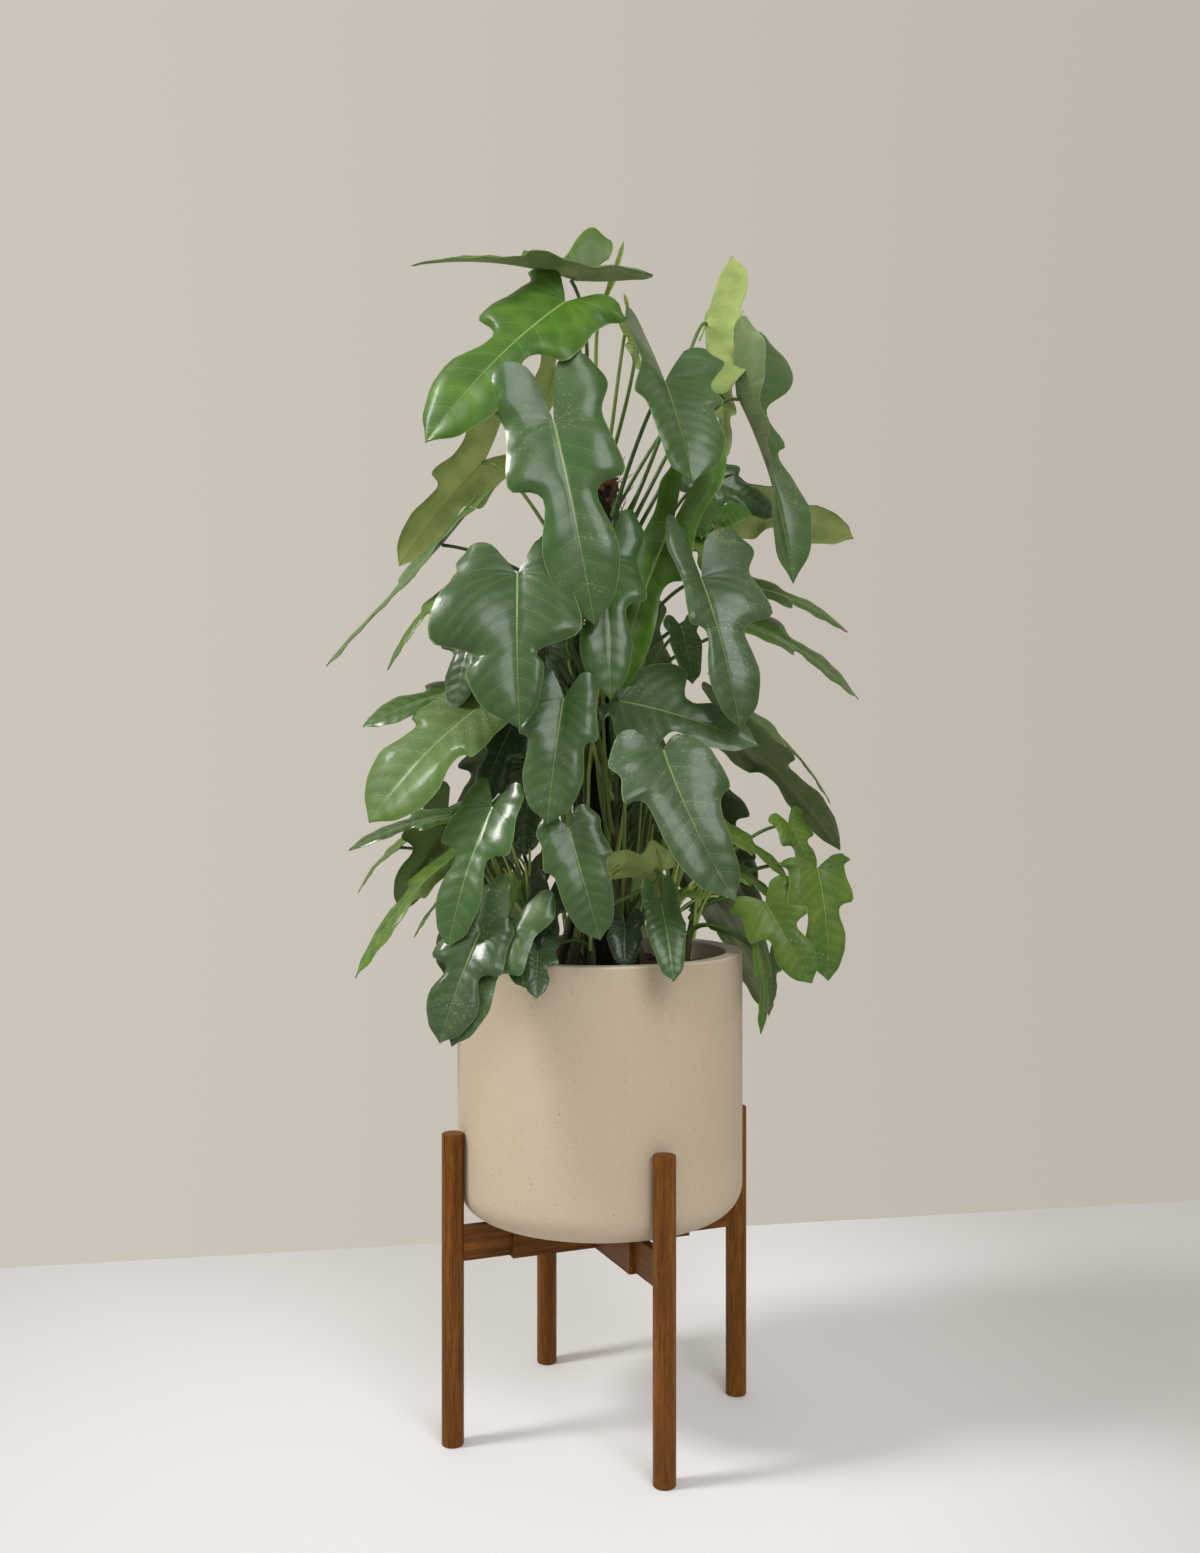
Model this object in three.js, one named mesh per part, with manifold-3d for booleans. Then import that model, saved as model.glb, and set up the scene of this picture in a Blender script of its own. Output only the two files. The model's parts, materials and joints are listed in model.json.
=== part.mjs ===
// A philodendron with fiddle-shaped leaves. Leafy stems climb a bark pole and fill the rim of a round ceramic
// pot, which stands on a wooden cross between four round legs.
// Millimetres, +Z up. The origin is on the floor, straight below the middle of the pot. The front is -Y.
// Azimuths are degrees round the pole: 0 is the front, 90 is +X, 180 is the back.

import * as THREE from "three";
import { mergeVertices } from "three/addons/utils/BufferGeometryUtils.js";
import Module from "manifold-3d";

const wasm = await Module();
wasm.setup();

const GAP = 0.3; // between solids that touch

// Stand
const LEG_RADIUS = 11.5;
const LEG_HEIGHT = 322;
const LEG_CHAMFER = 1.5;
const LEG_SIDES = 16;
const STAND_AZIMUTH = 22.4; // of the front leg, towards +X
const BEAM_TOP = 227;
const SLEEVE_HEIGHT = 40;
const SLEEVE_WIDTH = 20;
const SLEEVE_REACH = 102; // from the middle to each end
const BAR_HEIGHT = 35;
const BAR_WIDTH = 10;
const BAR_START = 54; // inside the sleeve
const BAR_DROP = 2.5; // of the bar's top below the sleeve's
const TENON = 8; // depth of the bar's end in its leg

// Pot
const POT_RADIUS = 152.5;
const POT_HEIGHT = 277;
const POT_WALL = 18;
const POT_FLOOR = 20;
const POT_CORNER = 32; // rounding of the outer bottom edge
const POT_LIP = 2.5; // rounding of the rim
const POT_SEGMENTS = 40;
const POT_BASE = BEAM_TOP + GAP;
const POT_RIM = POT_BASE + POT_HEIGHT;
const LEG_CIRCLE = POT_RADIUS + 0.5 + LEG_RADIUS;

// Soil and pole
const SOIL_BELOW_RIM = 23;
const SOIL_TOP = POT_RIM - SOIL_BELOW_RIM;
const SOIL_BUMP = 2.5;
const SOIL_BUMP_X = 13; // millimetres of one radian of the bumps
const SOIL_BUMP_Y = 11;
const SOIL_RINGS = [0.8, 0.45]; // of its top, as shares of its radius
const SOIL_EDGE = 0.9; // the bumps lie inside this share of its radius
const SOIL_SEGMENTS = 20;
const SOIL_CORNER_RISE = 4; // room over the pot's inner corner
const HOLE_ABOVE = 20; // how far the cut of a hole stands above the soil
const POLE_RADIUS = 19;
const POLE_TOP = 1005;
const POLE_FOOT = POT_BASE + POT_FLOOR + 5;
const POLE_SIDES = 16;

// Stems and petioles
const CLIMBER_RADIUS = 5.5;
const CLIMBER_CIRCLE = POLE_RADIUS + CLIMBER_RADIUS + 0.8; // of the stem's middle, where it hugs the pole
const CLIMBER_FOOT_CIRCLE = 47;
const HUG_HEIGHT = 600; // above this the climbers hug the pole
const CLIMBER_SIDES = 6;
const CLIMBER_STEPS = 10;
const SHOOT_RADIUS = 4;
const SHOOT_SIDES = 5;
const SHOOT_STEPS = 4;
const STEM_FOOT = SOIL_TOP - 45;
const STEM_CLEARANCE = 3 * GAP; // round each stem in the soil
const STRAIGHT_BELOW = 15; // below the soil's top, where a stem still stands upright
const STRAIGHT_ABOVE = 10; // above the soil's top, where it starts to lean
const LEAN_STEP = 25; // between the heights that shape the lean
const PETIOLE_RADIUS = 2.1;
const PETIOLE_SIDES = 3;
const PETIOLE_STEPS = 4;
const PETIOLE_PULL = 0.36; // how far its two ends hold their directions, as a share of its span
const PETIOLE_OUT = 0.5; // outward part of its first direction
const PETIOLE_UP = 0.85; // upward part of its first direction
const PETIOLE_BACK = 0.4; // how much it comes from behind the blade
const PETIOLE_BELOW = 0.6; // how much it comes from below the blade
const PETIOLE_OVERLAP = 5; // of its end along the midrib
const PETIOLE_SINK = 0.8; // of its end under the blade's middle surface

// Half of a leaf blade, from tip to basal lobe, as [along, aside] shares of the length from petiole to tip.
// The spine runs down the midrib to the petiole at [0, 0], then out along the inner edge of the basal lobe.
const MARGIN = [
  [1, 0],
  [0.86, 0.115],
  [0.64, 0.165],
  [0.38, 0.13],
  [0.28, 0.275],
  [0.1, 0.25],
  [-0.03, 0.24],
  [-0.19, 0.3],
  [-0.32, 0.25],
];
const SPINE = [
  [1, 0],
  [0.8, 0],
  [0.56, 0],
  [0.36, 0],
  [0.23, 0],
  [0.1, 0],
  [0, 0],
  [-0.14, 0.06],
  [-0.29, 0.14],
];
const PETIOLE_STATION = 6; // where the spine meets the petiole
const BLADE_THICKNESS = 0.9;
const WAVE = 0.012; // height of the waves along the margin, as a share of the length
const WAVE_PITCH = 9; // turn of the waves from petiole to tip, in radians
const WAVE_SPREAD = 40; // millimetres of a leaf's place that shift its waves by one radian
const FOLD_EASE = 0.75; // share of the fold that is gone at the tip

// Leaves in tiers, at the back
const TIER_LOW = 560; // height at which they reach out furthest
const TIER_HIGH = 1150;
const TIER_NEAR = 150; // from the pole's middle to their petiole ends, at the bottom
const TIER_NEAR_TOP = 60;
const TIER_JITTER = 8; // up or down
const TIER_TURN = 4; // degrees to either side
const TIER_OUT = [75, 95]; // how far the tip lies outside the petiole end
const TIER_DROP = [125, 145]; // how far the tip hangs below the petiole end
const TIER_WIDE = [1.05, 1.2];
const TIER_STALK_DROP = 75; // how far below the petiole end the stalk leaves its stem
const TIER_STALK_LOW = 520;
const TIER_STALK_HIGH = 985;
const TIER_ELEVATION = 35; // of the upper side's direction

// Shoots at the back
const BACK_FOOT_CIRCLE = 88;
const BACK_TOP_CIRCLE = 98;
const BACK_TOP = 560;
const BACK_TIERS = { spread: 4, low: 555, step: 42, count: 3 };

// The stretch of the outline that each station belongs to: end lobe, waist, side lobe or basal lobe.
const STRETCH = ["end", "end", "end", "waist", "side", "side", "ear", "ear", "ear"];

// Each leaf has: from, the height at which its petiole leaves the stem; base and tip, the two ends of its
// midrib; face, the azimuth and elevation that its upper side looks to. The rest is optional, and a pair gives
// the left and the right half their own values. Scales of the outline: wide for all of its width, end, waist,
// side and ear for the width of one stretch, shoulder for how far along the waist and side lobe lie, lobe for
// the length of the basal lobes. Bends: bow, the arch of the midrib; sweep, its bend to the right; twist, the
// turn of the tip; fold, how far the halves rise from the midrib; angles in degrees.
const PLAIN = {
  wide: 1.1, end: 1, waist: 1, side: 1, ear: 1, shoulder: 1, lobe: 1,
  bow: 0.06, sweep: 0, twist: 0, fold: [8, 8],
};

const CLIMBERS = [
  {
    name: "climbing_stem_1",
    azimuth: -40,
    top: 1000,
    leaves: [
      {
        from: 990, base: [-25, -70, 1200], tip: [-190, -100, 1205], face: [0, 72], fold: [62, 28],
        wide: 1.25, end: [0.35, 0.7], waist: [0.4, 0.9], side: [0.4, 0.8], ear: [1.05, 0.5],
        lobe: [0.6, 1],
      },
      {
        from: 975, base: [-35, -95, 1170], tip: [-170, -150, 1015], face: [-12, 26], wide: 1.15,
        end: [1.05, 1], waist: 0.8, side: [0.9, 0.9], ear: [0.85, 0.95], lobe: 0.3,
      },
      { from: 940, base: [-45, -150, 1035], tip: [-5, -170, 835], face: [5, 8], wide: 1, end: 1.1 },
      {
        from: 790, base: [-80, -160, 885], tip: [-75, -210, 735], face: [-5, 15], wide: [1.6, 1.2],
        end: [1.2, 0.7], waist: [1.6, 1], side: [1.2, 1.05], shoulder: 1.4, lobe: 0.6,
      },
      { from: 760, base: [-55, -70, 825], tip: [-55, -105, 765], face: [0, 20], wide: 1.2 },
      {
        from: 690, base: [-35, -165, 765], tip: [-50, -190, 645], face: [-5, 15], wide: 1.1, end: 1.3,
        waist: 1.5, lobe: 0.6,
      },
    ],
  },
  {
    name: "climbing_stem_2",
    azimuth: 35,
    top: 985,
    leaves: [
      {
        from: 965, base: [65, -110, 1085], tip: [90, -160, 975], face: [5, 25], wide: [1.7, 1.4],
        end: [0.85, 1.5], waist: [1.5, 1.7], side: [1, 1.05], ear: [1, 1.3], lobe: [1.6, 0.8],
        fold: [55, 0],
      },
      { from: 820, base: [5, -120, 905], tip: [10, -160, 765], face: [5, 15], wide: 1.1 },
      {
        from: 850, base: [75, -80, 950], tip: [10, -105, 765], face: [-15, 15], wide: [0.5, 0.85],
        lobe: [0.9, 1.2], fold: [35, 35],
      },
      {
        from: 790, base: [100, -130, 885], tip: [135, -165, 735], face: [15, 12], wide: [0.85, 1.4],
        end: [1.1, 0.9], lobe: [1.15, 0.85], fold: [30, 5],
      },
      {
        from: 700, base: [20, -115, 765], tip: [155, -140, 720], face: [10, 28], wide: 1.2, side: 1.3,
        ear: 0.6, shoulder: 1.15, lobe: 0.3,
      },
      {
        from: 630, base: [60, -185, 715], tip: [125, -225, 575], face: [5, 25], wide: [1.2, 1.05],
        end: [1.2, 0.9], waist: 1.5, ear: [1, 0.7], shoulder: 1.2, lobe: [0.3, 0.15], bow: 0.04,
        sweep: -0.04,
      },
    ],
  },
  {
    name: "climbing_stem_3",
    azimuth: 105,
    top: 975,
    tiers: { azimuth: 126, spread: 0, low: 690, step: 95, count: 1 },
    leaves: [
      {
        from: 960, base: [115, 20, 1180], tip: [150, 85, 1280], face: [165, 10], wide: [0.3, 1.3],
        end: [1, 1.5], waist: [1, 1.7], ear: [1, 1.2], lobe: [0.4, 2.2], sweep: -0.03, fold: [65, 8],
      },
      { from: 940, base: [135, 50, 1115], tip: [140, 70, 1045], face: [150, 10], wide: 0.7 },
      {
        from: 925, base: [145, -20, 1095], tip: [200, -60, 890], face: [30, 15], wide: 1, side: 0.5,
        waist: 0.7, ear: [0.9, 1.4], lobe: [0.9, 0.95], twist: 15, fold: [145, 5],
      },
      { from: 890, base: [150, 40, 985], tip: [288, 90, 960], face: [170, 55], wide: 1.15 },
      { from: 870, base: [115, -10, 1010], tip: [190, 0, 970], face: [10, 20], wide: 1.2 },
      { from: 850, base: [100, -50, 955], tip: [155, -75, 960], face: [0, 40], wide: 1.9, lobe: 0.6 },
      { from: 860, base: [105, -65, 935], tip: [110, -80, 895], face: [0, 25], wide: 1.2 },
      { from: 790, base: [160, 0, 895], tip: [275, 50, 850], face: [60, 50], wide: 0.9 },
      { from: 760, base: [155, -10, 855], tip: [285, 40, 775], face: [55, 45], wide: 0.9 },
      { from: 750, base: [85, -50, 845], tip: [95, -75, 785], face: [10, 20], wide: 1.2, lobe: 0.6 },
      { from: 640, base: [140, -20, 735], tip: [260, 10, 610], face: [120, 35], wide: 1.1 },
      { from: 660, base: [160, 40, 760], tip: [260, 80, 660], face: [75, 45], wide: 0.8 },
    ],
  },
  {
    name: "climbing_stem_4",
    azimuth: 180,
    top: 1000,
    tiers: { azimuth: 182, spread: 19, low: 735, step: 60, count: 4 },
    leaves: [
      {
        from: 995, base: [5, -30, 1195], tip: [25, -30, 1255], face: [20, 10], wide: 0.3, lobe: 0.2,
        fold: [60, 60],
      },
      {
        from: 990, base: [30, -45, 1165], tip: [25, -45, 1195], face: [20, 10], wide: 0.5, lobe: 0.2,
        fold: [60, 60],
      },
      { from: 960, base: [-50, 60, 1145], tip: [-85, 125, 1045], face: [-165, 35] },
      { from: 945, base: [95, 65, 1100], tip: [105, 120, 1040], face: [150, 35] },
      { from: 990, base: [40, -40, 1135], tip: [20, -50, 1170], face: [150, 30], wide: 1 },
    ],
  },
  {
    name: "climbing_stem_5",
    azimuth: -112,
    top: 960,
    tiers: { azimuth: -122, spread: 3, low: 740, step: 110, count: 2 },
    leaves: [
      {
        from: 900, base: [-125, 20, 1035], tip: [-225, 60, 925], face: [-150, 15], wide: 0.95,
        side: 0.85, lobe: [0.35, 1],
      },
      { from: 850, base: [-165, -20, 940], tip: [-285, -50, 805], face: [-70, 48], wide: 0.9, bow: 0 },
      { from: 810, base: [-155, -60, 885], tip: [-220, -60, 800], face: [-65, 45], wide: 0.9 },
      { from: 760, base: [-125, -85, 845], tip: [-145, -110, 755], face: [-30, 10], wide: 1.2 },
      { from: 700, base: [-135, -60, 780], tip: [-240, -95, 740], face: [-30, 50], wide: 1, end: 1.2 },
      {
        from: 660, base: [-120, -110, 760], tip: [-225, -150, 645], face: [-30, 35], wide: 1.1,
        end: 1.5, waist: 1.5,
      },
      { from: 650, base: [-90, -85, 740], tip: [-120, -95, 660], face: [-20, 20], wide: 1.2 },
      { from: 620, base: [-70, -95, 700], tip: [-75, -105, 610], face: [-10, 10], wide: 1.25 },
    ],
  },
];

const SHOOTS = [
  {
    name: "base_shoot_1",
    foot: [-62, -72],
    top: [-72, -88, 545],
    leaves: [
      {
        from: 540, base: [-105, -145, 660], tip: [-145, -180, 525], face: [-25, 20], wide: 0.9,
        end: 1.1, lobe: 0.5,
      },
      {
        from: 525, base: [-115, -175, 540], tip: [-150, -205, 440], face: [-15, 15], wide: 1.2,
        end: 1.2, lobe: 0.5,
      },
      { from: 515, base: [-90, -165, 545], tip: [-140, -195, 435], face: [-20, 15], wide: 1.1 },
      { from: 510, base: [-85, -150, 535], tip: [-70, -190, 490], face: [-10, 20], wide: 1.3 },
      { from: 530, base: [-85, -140, 580], tip: [-95, -150, 550], face: [60, 10], wide: 1.2 },
    ],
  },
  {
    name: "base_shoot_2",
    foot: [-8, -88],
    top: [-10, -98, 555],
    leaves: [
      {
        from: 550, base: [-30, -170, 640], tip: [0, -190, 535], face: [0, 12], wide: 1.05, end: 1.2,
        lobe: 0.4,
      },
      { from: 530, base: [-50, -110, 575], tip: [-55, -140, 515], face: [0, 20], wide: 1.2 },
      { from: 510, base: [-60, -160, 520], tip: [-60, -192, 480], face: [0, 15], wide: 1.4 },
      { from: 520, base: [25, -95, 540], tip: [25, -115, 500], face: [0, 15], wide: 1.6 },
      { from: 540, base: [60, -110, 595], tip: [0, -130, 605], face: [180, 30], wide: 1.2 },
    ],
  },
  {
    name: "base_shoot_3",
    foot: [62, -70],
    top: [68, -80, 540],
    leaves: [
      { from: 520, base: [60, -150, 565], tip: [70, -185, 495], face: [5, 15], wide: 1.2 },
      { from: 535, base: [75, -100, 570], tip: [110, -115, 570], face: [0, 60], wide: 1.2 },
    ],
  },
  {
    name: "base_shoot_4",
    foot: [92, -8],
    top: [100, -12, 560],
    leaves: [
      { from: 555, base: [200, -20, 640], tip: [225, -30, 580], face: [30, 30], wide: 1.3, lobe: 0.6 },
      {
        from: 545, base: [225, -60, 595], tip: [235, -70, 480], face: [20, 15], wide: [1.25, 1.15],
        lobe: 0.3,
      },
      { from: 530, base: [170, -70, 560], tip: [215, -90, 480], face: [-10, 15], wide: 1.3, lobe: 0.5 },
      { from: 550, base: [145, -30, 590], tip: [185, -20, 560], face: [0, 60], wide: 1.1 },
      { from: 558, base: [135, -50, 630], tip: [200, -30, 580], face: [20, 60], wide: 0.9 },
      { from: 515, base: [165, -60, 510], tip: [165, -70, 425], face: [60, 0], wide: 0.8 },
      { from: 520, base: [180, -20, 500], tip: [180, -20, 445], face: [40, 10], wide: 1 },
    ],
  },
  {
    name: "base_shoot_8",
    foot: [-92, -12],
    top: [-102, -18, 560],
    leaves: [
      { from: 555, base: [-155, -70, 650], tip: [-255, -90, 615], face: [-45, 50], wide: 0.8 },
      { from: 545, base: [-165, -10, 640], tip: [-215, 0, 545], face: [-150, 20], wide: 1.2 },
      { from: 550, base: [-220, 40, 615], tip: [-270, 60, 560], face: [-70, 45], wide: 0.9 },
      { from: 530, base: [-155, -30, 605], tip: [-255, -50, 480], face: [-65, 40], wide: 0.9 },
      { from: 520, base: [-155, -70, 570], tip: [-190, -80, 525], face: [-80, 40], wide: 0.9 },
    ],
  },
];

// Azimuths of the shoots that carry tiers of leaves only.
const BACK_SHOOTS = { base_shoot_5: 128, base_shoot_6: 173, base_shoot_7: -132 };

const radians = THREE.MathUtils.degToRad;
const vector = (point) => new THREE.Vector3(...point);

// A repeatable draw between two bounds.
let seed = 4711;
function draw(low, high) {
  seed = (seed * 16807) % 2147483647;
  return low + ((high - low) * seed) / 2147483647;
}

// Leaves that hang outwards like shingles, one tier above the other, to both sides of an azimuth in turn.
function tierLeaves({ azimuth, spread, low, step, count }) {
  const leaves = [];
  for (let i = 0; i < count; i++) {
    const height = low + i * step + draw(-TIER_JITTER, TIER_JITTER);
    const share = THREE.MathUtils.clamp((height - TIER_LOW) / (TIER_HIGH - TIER_LOW), 0, 1);
    const side = azimuth + (i % 2 ? spread : -spread) + draw(-TIER_TURN, TIER_TURN);
    const near = TIER_NEAR + (TIER_NEAR_TOP - TIER_NEAR) * share;
    const out = direction([side, 0]);
    const base = out.clone().multiplyScalar(near).setZ(height);
    const tip = out.clone().multiplyScalar(near + draw(...TIER_OUT)).setZ(height - draw(...TIER_DROP));
    leaves.push({
      from: THREE.MathUtils.clamp(height - TIER_STALK_DROP, TIER_STALK_LOW, TIER_STALK_HIGH),
      base: base.toArray(),
      tip: tip.toArray(),
      face: [side, TIER_ELEVATION],
      wide: draw(...TIER_WIDE),
    });
  }
  return leaves;
}

// A closed geometry as a solid that can be joined and cut.
function solid(geometry) {
  const bare = geometry.index ? geometry.toNonIndexed() : geometry.clone();
  bare.deleteAttribute("normal");
  bare.deleteAttribute("uv");
  const merged = mergeVertices(bare, 1e-3);
  return new wasm.Manifold(
    new wasm.Mesh({
      numProp: 3,
      vertProperties: merged.attributes.position.array,
      triVerts: new Uint32Array(merged.index.array),
    }),
  );
}

// A mesh of its own name, colour and finish from a solid.
function meshOf(name, body, material) {
  const { vertProperties, triVerts } = body.getMesh();
  const geometry = new THREE.BufferGeometry();
  geometry.setAttribute("position", new THREE.BufferAttribute(vertProperties, 3));
  geometry.setIndex(new THREE.BufferAttribute(triVerts, 1));
  geometry.computeVertexNormals();
  const mesh = new THREE.Mesh(geometry, new THREE.MeshStandardMaterial(material));
  mesh.name = name;
  return mesh;
}

// The largest closed surface of a joined solid: hollows sealed between crossing blades are filled.
function mainBody(body) {
  return body.decompose().sort((a, b) => b.volume() - a.volume())[0];
}

function box(width, depth, height, x, y, z) {
  return solid(new THREE.BoxGeometry(width, depth, height).translate(x, y, z));
}

function lathe(profile, segments) {
  const points = profile.map(([r, z]) => new THREE.Vector2(r, z));
  return new THREE.LatheGeometry(points, segments).rotateX(Math.PI / 2);
}

function tube(curve, radius, sides, steps) {
  const ring = [];
  for (let i = 0; i < sides; i++) {
    const angle = (i / sides) * 2 * Math.PI;
    ring.push(new THREE.Vector2(radius * Math.cos(angle), radius * Math.sin(angle)));
  }
  const section = new THREE.Shape(ring);
  return solid(new THREE.ExtrudeGeometry(section, { steps, extrudePath: curve, bevelEnabled: false }));
}

// A direction from its azimuth round the pole and its elevation.
function direction([azimuth, elevation]) {
  const level = Math.cos(radians(elevation));
  return new THREE.Vector3(
    Math.sin(radians(azimuth)) * level,
    -Math.cos(radians(azimuth)) * level,
    Math.sin(radians(elevation)),
  );
}

// A leaf's option on the side -1 (left) or 1 (right): one number for both sides, or a pair.
function onSide(option, side) {
  return Array.isArray(option) ? option[side < 0 ? 0 : 1] : option;
}

function stations(leaf, outline, side) {
  const scale = (name) => onSide(leaf[name], side);
  return outline.map(([along, aside], i) => {
    const stretch = STRETCH[i];
    const middle = stretch === "waist" || stretch === "side";
    const reach = along < 0 ? scale("lobe") : middle ? leaf.shoulder : 1;
    return [along * reach, aside * scale("wide") * scale(stretch)];
  });
}

// The frame of a blade: from base to tip, out of the upper side, and to the right of that side.
function bladeFrame(leaf) {
  const base = vector(leaf.base);
  const along = vector(leaf.tip).sub(base);
  const length = along.length();
  along.normalize();
  const up = direction(leaf.face);
  up.addScaledVector(along, -along.dot(up)).normalize();
  const right = up.clone().cross(along);
  return { base, along, length, up, right };
}

// A point of the blade's middle surface, on the side -1 (left) or 1 (right).
function bladePoint(leaf, frame, side, [along, aside]) {
  const { base, length } = frame;
  const forward = Math.max(along, 0);
  const turn = radians(leaf.twist) * forward;
  const arch = along > 0 ? 4 * along * (1 - along) : 2 * along;
  const across = frame.right.clone().applyAxisAngle(frame.along, turn);
  const lift = frame.up.clone().applyAxisAngle(frame.along, turn);
  const rise = radians(onSide(leaf.fold, side)) * (1 - FOLD_EASE * forward);
  const phase = (base.x + base.z) / WAVE_SPREAD + side;
  const wave = WAVE * Math.sin(WAVE_PITCH * along + phase) * (aside / MARGIN[5][1]);
  return base
    .clone()
    .addScaledVector(frame.along, along * length)
    .addScaledVector(frame.up, leaf.bow * arch * length)
    .addScaledVector(frame.right, leaf.sweep * arch * length)
    .addScaledVector(across, side * aside * Math.cos(rise) * length)
    .addScaledVector(lift, (aside * Math.sin(rise) + wave) * length);
}

// A thin closed blade: the middle surface, moved to both sides by half its thickness, and a rim round it.
function blade(leaf) {
  const frame = bladeFrame(leaf);
  const rows = {};
  for (const side of [-1, 1]) {
    rows[side] = { margin: stations(leaf, MARGIN, side), spine: stations(leaf, SPINE, side) };
  }
  const last = MARGIN.length - 1;
  const points = [];
  const index = new Map();
  const vertex = (side, row, station) => {
    const shared = row === "spine" && station <= PETIOLE_STATION;
    const key = shared || station === 0 ? `spine ${station}` : `${side} ${row} ${station}`;
    if (!index.has(key)) {
      index.set(key, points.length);
      points.push(bladePoint(leaf, frame, side, rows[side][row][station]));
    }
    return index.get(key);
  };
  const faces = [];
  const addFace = (side, a, b, c) => faces.push(side > 0 ? [a, c, b] : [a, b, c]);
  for (const side of [-1, 1]) {
    for (let i = 0; i < last; i++) {
      const inner = vertex(side, "spine", i);
      const outer = vertex(side, "margin", i);
      const nextOuter = vertex(side, "margin", i + 1);
      const nextInner = vertex(side, "spine", i + 1);
      if (i > 0) addFace(side, inner, nextOuter, outer);
      addFace(side, inner, nextInner, nextOuter);
    }
  }
  const half = (side) => {
    const rim = [];
    for (let i = 1; i <= last; i++) rim.push(vertex(side, "margin", i));
    for (let i = last; i > PETIOLE_STATION; i--) rim.push(vertex(side, "spine", i));
    return rim;
  };
  const loop = [
    vertex(1, "spine", 0),
    ...half(1),
    vertex(1, "spine", PETIOLE_STATION),
    ...half(-1).reverse(),
  ];
  return thicken(points, faces, loop, BLADE_THICKNESS);
}

// A closed solid from an open sheet, with the same triangles on both faces.
function thicken(points, faces, loop, thickness) {
  const normals = points.map(() => new THREE.Vector3());
  for (const [a, b, c] of faces) {
    const edge = points[b].clone().sub(points[a]);
    const normal = edge.cross(points[c].clone().sub(points[a]));
    for (const i of [a, b, c]) normals[i].add(normal);
  }
  const count = points.length;
  const sheet = (offset) =>
    points.map((p, i) => p.clone().addScaledVector(normals[i].clone().normalize(), offset));
  const all = [...sheet(thickness / 2), ...sheet(-thickness / 2)];
  const triangles = faces.flatMap(([a, b, c]) => [a, b, c, a + count, c + count, b + count]);
  loop.forEach((a, i) => {
    const b = loop[(i + 1) % loop.length];
    triangles.push(a, a + count, b, b, a + count, b + count);
  });
  const geometry = new THREE.BufferGeometry().setFromPoints(all);
  geometry.setIndex(triangles);
  return solid(geometry);
}

// The point of a stem at a height.
function stemPoint(curve, height) {
  const samples = curve.getPoints(80);
  const above = samples.findIndex((p) => p.z >= height);
  return samples[above < 0 ? samples.length - 1 : above];
}

// A leaf stalk, sunk into its stem, that rises outwards and comes to the blade from below and behind.
function petiole(stem, leaf) {
  const root = stemPoint(stem, leaf.from);
  const frame = bladeFrame(leaf);
  const { base, along, up } = frame;
  const way = base.clone().sub(root);
  const reach = way.length() * PETIOLE_PULL;
  const outward = new THREE.Vector3(way.x, way.y, 0).normalize();
  const rise = outward.multiplyScalar(PETIOLE_OUT).setZ(PETIOLE_UP);
  const arrival = along.clone().multiplyScalar(-PETIOLE_BACK).addScaledVector(up, -PETIOLE_BELOW);
  const overlap = [PETIOLE_OVERLAP / frame.length, 0];
  const curve = new THREE.CubicBezierCurve3(
    root,
    root.clone().addScaledVector(rise, reach),
    base.clone().addScaledVector(arrival, reach),
    bladePoint(leaf, frame, 1, overlap).addScaledVector(up, -PETIOLE_SINK),
  );
  return tube(curve, PETIOLE_RADIUS, PETIOLE_SIDES, PETIOLE_STEPS);
}

// A stem with its petioles and blades as one body, and the hole that it stands in.
function leafyStem(name, path, radius, sides, steps, leaves) {
  const stem = new THREE.CatmullRomCurve3(path);
  let body = tube(stem, radius, sides, steps);
  for (const row of leaves) {
    const leaf = { ...PLAIN, ...row };
    body = body.add(petiole(stem, leaf)).add(blade(leaf));
  }
  const hole = { position: path[0], radius: radius + STEM_CLEARANCE, sides: 8 };
  return { name, body: mainBody(body), hole };
}

// A stem that leans in to the pole above the soil and then climbs straight up it.
function climber({ name, azimuth, top, leaves, tiers }) {
  const out = direction([azimuth, 0]);
  const start = SOIL_TOP + STRAIGHT_ABOVE;
  const leaning = [1, 2, 3].map((i) => start + i * LEAN_STEP);
  const heights = [STEM_FOOT, SOIL_TOP - STRAIGHT_BELOW, start, ...leaning, HUG_HEIGHT, top];
  const path = heights.map((height) => {
    const share = THREE.MathUtils.clamp((HUG_HEIGHT - height) / (HUG_HEIGHT - start), 0, 1);
    const radius = CLIMBER_CIRCLE + (CLIMBER_FOOT_CIRCLE - CLIMBER_CIRCLE) * share ** 2;
    return out.clone().multiplyScalar(radius).setZ(height);
  });
  const all = [...leaves, ...(tiers ? tierLeaves(tiers) : [])];
  return leafyStem(name, path, CLIMBER_RADIUS, CLIMBER_SIDES, CLIMBER_STEPS, all);
}

// A short stem that stands upright in the soil and leans over to its top.
function shoot({ name, foot, top, leaves, tiers }) {
  const heights = [STEM_FOOT, SOIL_TOP - STRAIGHT_BELOW, SOIL_TOP + STRAIGHT_ABOVE - 2];
  const path = [...heights.map((height) => vector([...foot, height])), vector(top)];
  const all = [...leaves, ...(tiers ? tierLeaves(tiers) : [])];
  return leafyStem(name, path, SHOOT_RADIUS, SHOOT_SIDES, SHOOT_STEPS, all);
}

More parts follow.
